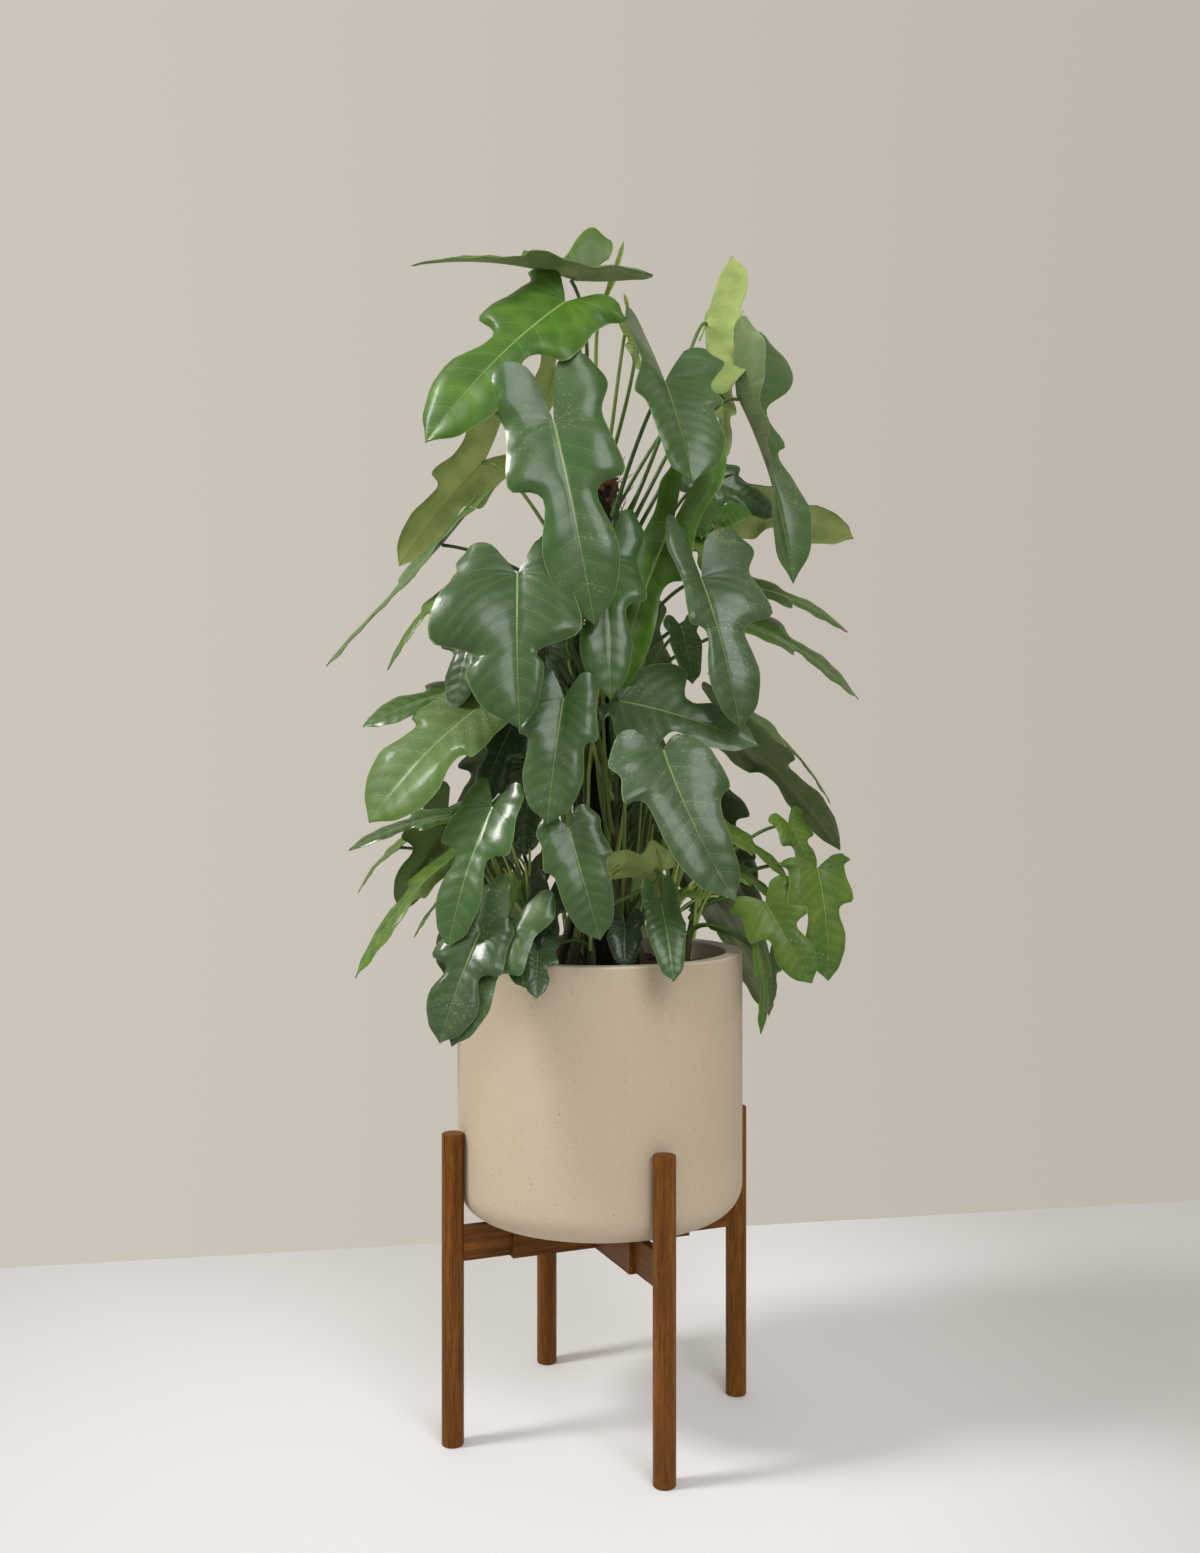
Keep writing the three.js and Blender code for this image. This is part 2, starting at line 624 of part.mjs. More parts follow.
// A shoot whose leaves stand in tiers only.
function backShoot([name, azimuth]) {
  const out = direction([azimuth, 0]);
  const at = (radius) => [radius * out.x, radius * out.y];
  const foot = at(BACK_FOOT_CIRCLE);
  const top = [...at(BACK_TOP_CIRCLE), BACK_TOP];
  return shoot({ name, foot, top, leaves: [], tiers: { azimuth, ...BACK_TIERS } });
}

function leg() {
  const r = LEG_RADIUS;
  const c = LEG_CHAMFER;
  const profile = [
    [0, 0],
    [r - c, 0],
    [r, c],
    [r, LEG_HEIGHT - c],
    [r - c, LEG_HEIGHT],
    [0, LEG_HEIGHT],
  ];
  const barMiddle = BEAM_TOP - BAR_DROP - BAR_HEIGHT / 2;
  const depth = TENON + GAP;
  const mortise = box(depth * 2, BAR_WIDTH + 2 * GAP, BAR_HEIGHT + 2 * GAP, -LEG_RADIUS, 0, barMiddle);
  return solid(lathe(profile, LEG_SIDES)).subtract(mortise);
}

// A beam of the cross with a pocket in each end. The notch for the other beam is in its top or bottom half.
function sleeve(notchAtTop) {
  const middle = BEAM_TOP - SLEEVE_HEIGHT / 2;
  const beam = box(2 * SLEEVE_REACH, SLEEVE_WIDTH, SLEEVE_HEIGHT, 0, 0, middle);
  const notchMiddle = middle + (notchAtTop ? 1 : -1) * (SLEEVE_HEIGHT / 2);
  const notchWidth = SLEEVE_WIDTH + 2 * GAP;
  const notch = box(notchWidth, SLEEVE_WIDTH + 2, SLEEVE_HEIGHT + GAP, 0, 0, notchMiddle);
  const barMiddle = BEAM_TOP - BAR_DROP - BAR_HEIGHT / 2;
  const pocketEnd = SLEEVE_REACH + 1;
  const pocketLength = pocketEnd - BAR_START + GAP;
  const pocket = (side) =>
    box(
      pocketLength,
      BAR_WIDTH + 2 * GAP,
      BAR_HEIGHT + 2 * GAP,
      side * (pocketEnd - pocketLength / 2),
      0,
      barMiddle,
    );
  return beam.subtract(notch).subtract(pocket(-1)).subtract(pocket(1));
}

function bar() {
  const end = LEG_CIRCLE - LEG_RADIUS + TENON;
  const middle = BEAM_TOP - BAR_DROP - BAR_HEIGHT / 2;
  return box(end - BAR_START, BAR_WIDTH, BAR_HEIGHT, (end + BAR_START) / 2, 0, middle);
}

function pot() {
  const corner = (radius, x, z, from, to, steps) => {
    const arc = [];
    for (let i = 0; i <= steps; i++) {
      const angle = radians(from + ((to - from) * i) / steps);
      arc.push([x + radius * Math.cos(angle), z + radius * Math.sin(angle)]);
    }
    return arc;
  };
  const inner = POT_RADIUS - POT_WALL;
  const innerCorner = POT_CORNER - POT_WALL / 2;
  const profile = [
    [0, POT_BASE],
    ...corner(POT_CORNER, POT_RADIUS - POT_CORNER, POT_BASE + POT_CORNER, -90, 0, 3),
    ...corner(POT_LIP, POT_RADIUS - POT_LIP, POT_RIM - POT_LIP, 0, 90, 2),
    ...corner(POT_LIP, inner + POT_LIP, POT_RIM - POT_LIP, 90, 180, 2),
    ...corner(innerCorner, inner - innerCorner, POT_BASE + POT_FLOOR + innerCorner, 0, -90, 2),
    [0, POT_BASE + POT_FLOOR],
  ];
  return solid(lathe(profile, POT_SEGMENTS));
}

// Soil that fills the pot, with a crumbly top and a plain hole for the pole and for each stem.
function soil(holes) {
  const outer = POT_RADIUS - POT_WALL - 2 * GAP;
  const bottom = POT_BASE + POT_FLOOR + GAP;
  const corner = POT_CORNER - POT_WALL / 2;
  const profile = [
    [0, bottom],
    [outer - corner, bottom],
    [outer, bottom + corner + SOIL_CORNER_RISE],
    [outer, SOIL_TOP - SOIL_BUMP],
    ...SOIL_RINGS.map((share) => [outer * share, SOIL_TOP]),
    [0, SOIL_TOP],
  ];
  const mound = lathe(profile, SOIL_SEGMENTS);
  const place = mound.attributes.position;
  for (let i = 0; i < place.count; i++) {
    const x = place.getX(i);
    const y = place.getY(i);
    const inside = Math.hypot(x, y) < outer * SOIL_EDGE && place.getZ(i) > SOIL_TOP - 1;
    const bump = SOIL_BUMP * Math.sin(x / SOIL_BUMP_X) * Math.cos(y / SOIL_BUMP_Y);
    if (inside) place.setZ(i, SOIL_TOP + bump);
  }
  let body = solid(mound);
  for (const { position, radius, sides } of holes) {
    const depth = SOIL_TOP + HOLE_ABOVE - position.z + GAP;
    const hole = new THREE.CylinderGeometry(radius, radius, depth, sides).rotateX(Math.PI / 2);
    body = body.subtract(solid(hole.translate(position.x, position.y, position.z - GAP + depth / 2)));
  }
  return body;
}

function pole() {
  const length = POLE_TOP - POLE_FOOT;
  const post = new THREE.CylinderGeometry(POLE_RADIUS, POLE_RADIUS, length, POLE_SIDES);
  post.rotateX(Math.PI / 2);
  return solid(post.translate(0, 0, POLE_FOOT + length / 2));
}

const WOOD = { color: 0x8a5a24, roughness: 0.5, metalness: 0 };
const CERAMIC = { color: 0xc6b296, roughness: 0.75, metalness: 0 };
const EARTH = { color: 0x2a1d15, roughness: 1, metalness: 0 };
const BARK = { color: 0x3a2a1e, roughness: 1, metalness: 0 };
const FOLIAGE = { color: 0x4c7a45, roughness: 0.45, metalness: 0 };

function stand() {
  const group = new THREE.Group();
  for (let i = 0; i < 4; i++) {
    const arm = new THREE.Group();
    arm.rotation.z = radians(STAND_AZIMUTH - 90 + 90 * i);
    const post = meshOf(`leg_${i + 1}`, leg(), WOOD);
    post.position.x = LEG_CIRCLE;
    arm.add(post, meshOf(`cross_bar_${i + 1}`, bar(), WOOD));
    if (i < 2) arm.add(meshOf(`cross_sleeve_${i + 1}`, sleeve(i === 0), WOOD));
    group.add(arm);
  }
  return group;
}

const stems = [
  ...CLIMBERS.map(climber),
  ...SHOOTS.map(shoot),
  ...Object.entries(BACK_SHOOTS).map(backShoot),
];
const poleHole = {
  position: new THREE.Vector3(0, 0, POLE_FOOT),
  radius: POLE_RADIUS + 2 * GAP,
  sides: POLE_SIDES,
};

const plant = new THREE.Group();
plant.add(
  stand(),
  meshOf("pot", pot(), CERAMIC),
  meshOf("soil", soil([poleHole, ...stems.map(({ hole }) => hole)]), EARTH),
  meshOf("bark_pole", pole(), BARK),
  ...stems.map(({ name, body }) => meshOf(name, body, FOLIAGE)),
);

export default plant;
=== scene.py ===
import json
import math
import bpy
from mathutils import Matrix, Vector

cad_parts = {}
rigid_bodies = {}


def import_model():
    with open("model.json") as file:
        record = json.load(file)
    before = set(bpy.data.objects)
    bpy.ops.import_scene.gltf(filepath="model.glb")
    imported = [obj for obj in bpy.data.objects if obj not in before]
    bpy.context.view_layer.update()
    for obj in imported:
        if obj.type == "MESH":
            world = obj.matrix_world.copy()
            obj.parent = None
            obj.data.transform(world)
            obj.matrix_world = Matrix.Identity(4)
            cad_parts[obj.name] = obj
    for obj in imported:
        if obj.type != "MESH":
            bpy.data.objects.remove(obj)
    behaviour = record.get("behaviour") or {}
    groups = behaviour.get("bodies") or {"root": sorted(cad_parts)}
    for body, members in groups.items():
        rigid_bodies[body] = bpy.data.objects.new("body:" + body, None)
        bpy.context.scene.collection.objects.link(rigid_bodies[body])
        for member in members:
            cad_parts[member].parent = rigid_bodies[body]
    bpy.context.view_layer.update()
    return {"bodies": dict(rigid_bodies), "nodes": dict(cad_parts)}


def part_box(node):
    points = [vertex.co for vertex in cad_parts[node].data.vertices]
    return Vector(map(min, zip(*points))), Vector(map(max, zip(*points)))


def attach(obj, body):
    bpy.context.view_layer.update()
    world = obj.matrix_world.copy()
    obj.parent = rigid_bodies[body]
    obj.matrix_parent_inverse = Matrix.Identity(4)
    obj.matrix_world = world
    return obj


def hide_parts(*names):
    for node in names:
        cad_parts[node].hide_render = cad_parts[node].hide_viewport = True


bl_info = {
    "name": "Potted climbing philodendron",
    "version": (1, 0, 0),
    "blender": (4, 5, 0),
    "location": "3D View > Sidebar > Philodendron",
    "description": "Dresses the solids of a potted philodendron: leaves, stems, pole, soil, pot and stand",
    "category": "Add Mesh",
}

import bpy
import numpy as np
from bpy.props import FloatProperty, FloatVectorProperty, IntProperty, PointerProperty
from mathutils import Vector

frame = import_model()
BODY = next(iter(frame["bodies"]))
POT_LOW, POT_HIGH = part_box("pot")
SOIL_LOW, SOIL_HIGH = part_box("soil")
POLE_LOW, POLE_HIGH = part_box("bark_pole")
LEG_LOW, LEG_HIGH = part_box("leg_1")

MM = 0.001
STAND_AZIMUTH = 22.4  # degrees, of the front leg towards +X

# Stems and leaves, in millimetres and degrees as in the solids
SOIL_TOP = 481.3
STEM_FOOT = 436.3
CLIMBER_RADIUS, SHOOT_RADIUS = 5.5, 4
CLIMBER_CIRCLE, CLIMBER_FOOT_CIRCLE = 25.3, 47  # round the pole's axis
HUG_HEIGHT = 600  # from here up a climbing stem lies against the pole
FOOT_CIRCLE, CROWN_CIRCLE, CROWN_HEIGHT = 88, 98, 560  # the foot and the top of a low shoot of the back
JOINT_START, JOINT_STEP = 30, 42.0  # the swollen joints of a stem, from its foot up
PETIOLE_REACH = 0.36  # how far a petiole keeps its direction at both ends, as a share of its length
PETIOLE_GRIP = 5  # how far it runs on under the blade
STEM_SEED = 900
CLIMBER_POINTS, ROOT_POINTS = 90, 26
SHOOT_STEPS, PETIOLE_STEPS, BARE_STEPS, SPRIG_STEPS = 10, 22, 18, 14

# Bare stalks, hanging roots and young sprigs; a pair is the two bounds of a draw
BARE_FROM, BARE_BELOW_TOP, BARE_TURN = 505, 260, 70
BARE_RISE, BARE_SPREAD = (90, 190), (14, 66)
ROOT_FROM, ROOT_BELOW_TOP, ROOT_TURN = 560, 60, 75
ROOT_FALL_LEAST, ROOT_FALL_MOST, ROOT_SWAY = 60, 190, 9
ROOT_BULGE, ROOT_WAVES, ROOT_WOBBLE = (6, 13), (7, 15), 0.9
SPRIG_TURN, SPRIG_DEPTH = 80, (5, 45)
SPRIG_SPREAD, SPRIG_RISE = (20, 60), (45, 100)

# Tiers of leaves at the back
TIER_LOW, TIER_HIGH = 560, 1150
TIER_NEAR, TIER_NEAR_TOP = 150, 60  # from the pole's axis to the leaves of the lowest and the highest tier
TIER_REACH, TIER_DROP = (75, 95), (125, 145)  # from a leaf's petiole to its tip, outwards and down
TIER_WIDE = (1.05, 1.2)
TIER_PETIOLE = 75  # the height that a petiole rises
TIER_START_LOW, TIER_START_HIGH = 520, 985
TIER_FACE = 35  # the elevation that the upper sides look at
TIER_SEED = 4711

# The lumpy surfaces of the soil and the pole, in metres
SOIL_RINGS, SOIL_SEGMENTS, SOIL_WAVES = 40, 120, 24
SOIL_FOOT, SOIL_EDGE = 0.03, 0.004  # the roundings of the bed's foot and of its upper edge
CHIP_CLEARANCE = 0.006  # from the chips to the pot's wall
POLE_ROWS, POLE_SEGMENTS, POLE_WAVES, POLE_SEED = 150, 56, 16, 21
POLE_SKIN = 0.0012  # the depth that the fibres take up
POLE_LUMPS = 0.09  # as a share of the radius
FIBRE_GIRTH, FIBRE_SEED, FLAKE_SEED = 0.00035, 3, 9
CHIP_FLATNESS, FLAKE_FLATNESS = 0.7, 0.45
TOUCH = 1e-6

# The studio, in metres
FLOOR_SIDE, FLOOR_EDGE_LEFT, FLOOR_EDGE_RIGHT = 5.0, -0.278, 1.552
KEY_PLACE, KEY_TARGET = (-1.75, -0.6, 2.45), (0.12, 0.0, 0.38)
FRONT_PLACE, FRONT_TARGET = (1.0, -2.95, 3.0), (0.05, 0.0, 0.75)

# Half of a leaf blade, from tip to basal lobe, as (along, aside) shares of the length from petiole to tip:
# the margin, the line in the middle that it is spread from, and which of a leaf's scales widens it there
MARGIN = [
    (1, 0), (0.955, 0.037), (0.86, 0.115), (0.64, 0.165), (0.38, 0.13), (0.28, 0.275), (0.1, 0.25),
    (-0.03, 0.24), (-0.19, 0.3), (-0.32, 0.25),
]
SPINE = [
    (1, 0), (0.95, 0), (0.8, 0), (0.56, 0), (0.36, 0), (0.23, 0), (0.1, 0),
    (0, 0), (-0.14, 0.06), (-0.29, 0.14),
]
STRETCH = ["end", "end", "end", "end", "waist", "side", "side", "ear", "ear", "ear"]
SIDE_STATION = 5
PETIOLE_STATION = 7

# Relief of a blade, as shares of its length
SPUR = 0.02
WAVE, RIPPLE = 0.012, 0.005
CURL, CURL_CHANGE = 0.022, 0.014
LOBE_ROUNDING = 0.08

PLAIN = {
    "wide": 1.1, "end": 1, "waist": 1, "side": 1, "ear": 1, "shoulder": 1, "lobe": 1, "crown": 1,
    "cleft": 0.7, "bow": 0.06, "sweep": 0, "twist": 0, "fold": (8, 8), "tone": 0.25,
}


def leaf(start, base, tip, face, **looks):
    """A leaf: where its petiole starts, the ends of its midrib, where its upper side looks, and its looks."""
    return {**PLAIN, "start": start, "base": base, "tip": tip, "face": face, **looks}


STEMS = [
    {
        "node": "climbing_stem_1", "azimuth": -40, "top": 1000,
        "leaves": [
            leaf(
                990, (-25, -70, 1200), (-190, -100, 1205), (0, 72), fold=(62, 28), wide=1.25, end=(0.35, 0.7),
                waist=(0.4, 0.9), side=(0.4, 0.8), ear=(1.05, 0.85), lobe=(0.6, 1.15), tone=0.46,
            ),
            leaf(
                975, (-35, -95, 1170), (-170, -150, 1015), (-12, 26), wide=1.15, end=(1.05, 1), waist=0.8,
                side=(0.9, 0.9), ear=(0.85, 0.95), lobe=0.3, tone=0.7,
            ),
            leaf(
                940, (-45, -150, 1035), (-5, -170, 835), (5, 8), wide=1, end=1.1, lobe=0.85, cleft=0.35,
                tone=0.3,
            ),
            leaf(
                790, (-80, -160, 885), (-75, -210, 735), (-5, 15), wide=(1.6, 1.2), end=(1.2, 0.8),
                waist=(1.25, 0.8), side=(1.2, 1.15), shoulder=1.4, lobe=0.6, crown=0.8, tone=0.22,
            ),
            leaf(760, (-55, -70, 825), (-55, -105, 765), (0, 20), wide=1.2, tone=0.15),
            leaf(
                690, (-35, -165, 765), (-50, -190, 645), (-5, 15), wide=1.1, end=1.3, waist=1.5, lobe=0.6,
                crown=0.8, tone=0.25,
            ),
        ],
    },
    {
        "node": "climbing_stem_2", "azimuth": 35, "top": 985,
        "leaves": [
            leaf(
                965, (65, -110, 1085), (90, -160, 975), (5, 25), wide=(1.7, 1.4), end=(0.85, 1.5),
                waist=(1.5, 1.7), side=(1, 1.05), ear=(1, 1.3), lobe=(1.6, 0.8), fold=(55, 0), tone=0.3,
            ),
            leaf(820, (5, -120, 905), (10, -160, 765), (5, 15), wide=(1.2, 0.95), tone=0.3),
            leaf(
                850, (75, -80, 950), (10, -105, 765), (-15, 15), wide=(0.5, 0.85), lobe=(0.9, 1.2),
                fold=(35, 35), tone=0.74,
            ),
            leaf(
                790, (100, -130, 885), (135, -165, 735), (15, 12), wide=(0.72, 1.4), end=(1.2, 0.9),
                lobe=(1.15, 0.85), cleft=0.45, fold=(30, 5), tone=0.2,
            ),
            leaf(
                700, (20, -115, 765), (155, -140, 720), (10, 28), wide=1.05, side=1.3, ear=0.6, shoulder=1.15,
                lobe=0.3, tone=0.2,
            ),
            leaf(
                630, (60, -185, 715), (125, -225, 575), (5, 25), wide=(1.25, 1.05), end=(0.95, 0.95),
                waist=(1.35, 1.5), side=(1, 1.05), ear=(1.2, 0.8), crown=(0.7, 0.65), shoulder=(0.75, 1.15),
                lobe=(0.5, 0.15), bow=0.04, sweep=-0.04, tone=0.18,
            ),
        ],
    },
    {
        "node": "climbing_stem_3", "azimuth": 105, "top": 975, "tiers": {"azimuth": 126, "spread": 0,
        "low": 690, "step": 95, "count": 1},
        "leaves": [
            leaf(
                960, (115, 20, 1180), (150, 85, 1280), (165, 10), wide=(0.3, 1.3), end=(1, 1.15),
                waist=(1, 1.5), side=(1, 0.8), ear=(1, 1.2), lobe=(0.4, 2.2), sweep=-0.03, fold=(65, 8),
                tone=0.6,
            ),
            leaf(940, (135, 50, 1115), (140, 70, 1045), (150, 10), wide=0.7, tone=0.6),
            leaf(
                925, (145, -20, 1095), (200, -60, 890), (30, 15), wide=1, side=0.5, waist=0.7, ear=(0.9, 1.4),
                lobe=(0.9, 0.95), twist=15, fold=(105, 5), tone=0.32,
            ),
            leaf(890, (150, 40, 985), (288, 90, 960), (170, 55), wide=1.15, tone=0.7),
            leaf(870, (115, -10, 1010), (190, 0, 970), (10, 20), wide=1.2, tone=0.25),
            leaf(850, (100, -50, 955), (155, -75, 960), (0, 40), wide=1.9, lobe=0.6, tone=0.75),
            leaf(860, (105, -65, 935), (110, -80, 895), (0, 25), wide=1.2, tone=0.85),
            leaf(790, (160, 0, 895), (275, 50, 850), (60, 50), wide=0.9, tone=0.4),
            leaf(760, (155, -10, 855), (285, 40, 775), (55, 45), wide=0.9, tone=0.4),
            leaf(
                750, (85, -50, 845), (95, -75, 785), (10, 20), wide=1.2, waist=1.6, side=0.75, lobe=0.6,
                crown=0.8, tone=0.3,
            ),
            leaf(640, (140, -20, 735), (260, 10, 610), (120, 35), wide=1.1, tone=0.2),
            leaf(660, (160, 40, 760), (260, 80, 660), (75, 45), wide=0.8, tone=0.45),
        ],
    },
    {
        "node": "climbing_stem_4", "azimuth": 180, "top": 1000, "tiers": {"azimuth": 182, "spread":
        19, "low": 735, "step": 60, "count": 4},
        "leaves": [
            leaf(
                995, (5, -30, 1195), (25, -30, 1255), (20, 10), wide=0.3, lobe=0.2, fold=(60, 60), tone=0.95,
            ),
            leaf(
                990, (30, -45, 1165), (25, -45, 1195), (20, 10), wide=0.5, lobe=0.2, fold=(60, 60), tone=0.95,
            ),
            leaf(960, (-50, 60, 1145), (-85, 125, 1045), (-165, 35), wide=0.6, tone=0.65),
            leaf(945, (95, 65, 1100), (105, 120, 1040), (150, 35), wide=0.6, tone=0.45),
            leaf(990, (40, -40, 1135), (20, -50, 1170), (150, 30), wide=1, tone=0.7),
        ],
    },
    {
        "node": "climbing_stem_5", "azimuth": -112, "top": 960, "tiers": {"azimuth": -122, "spread":
        3, "low": 740, "step": 110, "count": 2},
        "leaves": [
            leaf(
                900, (-125, 20, 1035), (-225, 60, 925), (-150, 15), wide=0.95, side=0.85, lobe=(0.35, 1),
                tone=0.85,
            ),
            leaf(850, (-165, -20, 940), (-285, -50, 805), (-70, 48), wide=0.9, bow=0, tone=0.4),
            leaf(810, (-155, -60, 885), (-220, -60, 800), (-65, 45), wide=0.9, tone=0.5),
            leaf(760, (-125, -85, 845), (-145, -110, 755), (-30, 10), wide=1.2, tone=0.18),
            leaf(700, (-135, -60, 780), (-240, -95, 740), (-30, 50), wide=1, end=1.2, tone=0.35),
            leaf(
                660, (-120, -110, 760), (-225, -150, 645), (-30, 20), wide=1.1, end=1.5, waist=1.5, tone=0.44,
            ),
            leaf(650, (-90, -85, 740), (-120, -95, 660), (-20, 20), wide=1.2, tone=0.1),
            leaf(620, (-70, -95, 700), (-75, -105, 610), (-10, 10), wide=1.25, tone=0.12),
        ],
    },
    {
        "node": "base_shoot_1", "foot": [-62, -72], "top": [-72, -88, 545],
        "leaves": [
            leaf(
                540, (-105, -145, 660), (-145, -180, 525), (-25, 20), wide=0.95, end=1.1, lobe=0.5, crown=0.8,
                tone=0.3,
            ),
            leaf(
                525, (-115, -175, 540), (-150, -205, 440), (-15, 15), wide=1.2, end=1.2, lobe=0.5, crown=0.8,
                tone=0.15,
            ),
            leaf(515, (-90, -165, 545), (-140, -195, 435), (-20, 15), wide=1.1, tone=0.3),
            leaf(
                510, (-85, -150, 535), (-70, -190, 490), (-10, 20), wide=1.3, waist=1.5, side=0.8, crown=0.8,
                tone=0.15,
            ),
            leaf(530, (-85, -140, 580), (-95, -150, 550), (60, 10), wide=1.2, tone=0.6),
        ],
    },
    {
        "node": "base_shoot_2", "foot": [-8, -88], "top": [-10, -98, 555],
        "leaves": [
            leaf(
                550, (-30, -170, 640), (0, -190, 535), (0, 12), wide=1.2, end=1.1, waist=1.5, side=0.9,
                lobe=0.45, crown=0.7, tone=0.22,
            ),
            leaf(530, (-50, -110, 575), (-55, -140, 515), (0, 20), wide=1.2, tone=0.1),
            leaf(510, (-60, -160, 520), (-60, -192, 480), (0, 15), wide=1.4, tone=0.15),
            leaf(
                520, (25, -95, 540), (25, -115, 500), (0, 15), wide=1.9, waist=1.6, side=0.75, crown=0.8,
                tone=0.05,
            ),
            leaf(540, (60, -110, 595), (0, -130, 605), (180, 30), wide=1.8, tone=0.6),
        ],
    },
    {
        "node": "base_shoot_3", "foot": [62, -70], "top": [68, -80, 540],
        "leaves": [
            leaf(
                520, (60, -150, 565), (70, -185, 495), (5, 15), wide=1.15, waist=1.6, side=0.75, ear=0.85,
                crown=0.8, tone=0.3,
            ),
            leaf(535, (75, -100, 570), (110, -115, 570), (0, 60), wide=1.2, tone=0.6),
        ],
    },
    {
        "node": "base_shoot_4", "foot": [92, -8], "top": [100, -12, 560],
        "leaves": [
            leaf(555, (200, -20, 640), (225, -30, 580), (30, 30), wide=1.3, lobe=0.6, tone=0.6),
            leaf(545, (225, -60, 595), (235, -70, 480), (20, 15), wide=(1.25, 1.15), lobe=0.3, tone=0.6),
            leaf(530, (170, -70, 560), (215, -90, 480), (-10, 15), wide=1.3, lobe=0.5, tone=0.6),
            leaf(550, (145, -30, 590), (185, -20, 560), (0, 60), wide=1.1, tone=0.55),
            leaf(558, (135, -50, 630), (200, -30, 580), (20, 60), wide=0.9, tone=0.55),
            leaf(515, (165, -60, 510), (165, -70, 425), (60, 0), wide=0.8, tone=0.6),
            leaf(520, (180, -20, 500), (180, -20, 445), (40, 10), wide=1, tone=0.4),
        ],
    },
    {
        "node": "base_shoot_8", "foot": [-92, -12], "top": [-102, -18, 560],
        "leaves": [
            leaf(555, (-155, -70, 650), (-255, -90, 615), (-45, 50), wide=0.8, tone=0.35),
            leaf(545, (-165, -10, 640), (-215, 0, 545), (-150, 20), wide=1.2, tone=0.4),
            leaf(550, (-220, 40, 615), (-270, 60, 560), (-70, 45), wide=0.9, tone=0.5),
            leaf(530, (-155, -30, 605), (-255, -50, 480), (-65, 40), wide=0.9, tone=0.6),
            leaf(520, (-155, -70, 570), (-190, -80, 525), (-80, 40), wide=0.9, tone=0.5),
        ],
    },
]
BACK_SHOOTS = {"base_shoot_5": 128, "base_shoot_6": 173, "base_shoot_7": -132}
for shoot_name, shoot_azimuth in BACK_SHOOTS.items():
    turned = math.radians(shoot_azimuth)
    foot, top = ((r * math.sin(turned), -r * math.cos(turned)) for r in (FOOT_CIRCLE, CROWN_CIRCLE))
    shoot_tiers = {"azimuth": shoot_azimuth, "spread": 4, "low": 555, "step": 42, "count": 3}
    shoot = {"node": shoot_name, "foot": foot, "top": (*top, CROWN_HEIGHT), "leaves": []}
    STEMS.append({**shoot, "tiers": shoot_tiers})


def math_operator(operation, swapped=False):
    """An operator of Wire as a Math node; swapped where the wire is the second value."""

    def run(self, other):
        values = (other, self) if swapped else (self, other)
        return self.tree.add("ShaderNodeMath", {"operation": operation}, dict(enumerate(values)))

    return run


class Wire:
    """A socket of a node tree, with the usual operators on numbers."""

    def __init__(self, tree, socket):
        self.tree = tree
        self.socket = socket

    __add__, __radd__ = math_operator("ADD"), math_operator("ADD", swapped=True)
    __sub__, __rsub__ = math_operator("SUBTRACT"), math_operator("SUBTRACT", swapped=True)
    __mul__, __rmul__ = math_operator("MULTIPLY"), math_operator("MULTIPLY", swapped=True)
    __truediv__, __rtruediv__ = math_operator("DIVIDE"), math_operator("DIVIDE", swapped=True)

    def __abs__(self):
        return self.tree.add("ShaderNodeMath", {"operation": "ABSOLUTE"}, {0: self})

    def sibling(self, name):
        """Another output of the same node."""
        return Wire(self.tree, self.socket.node.outputs[name])


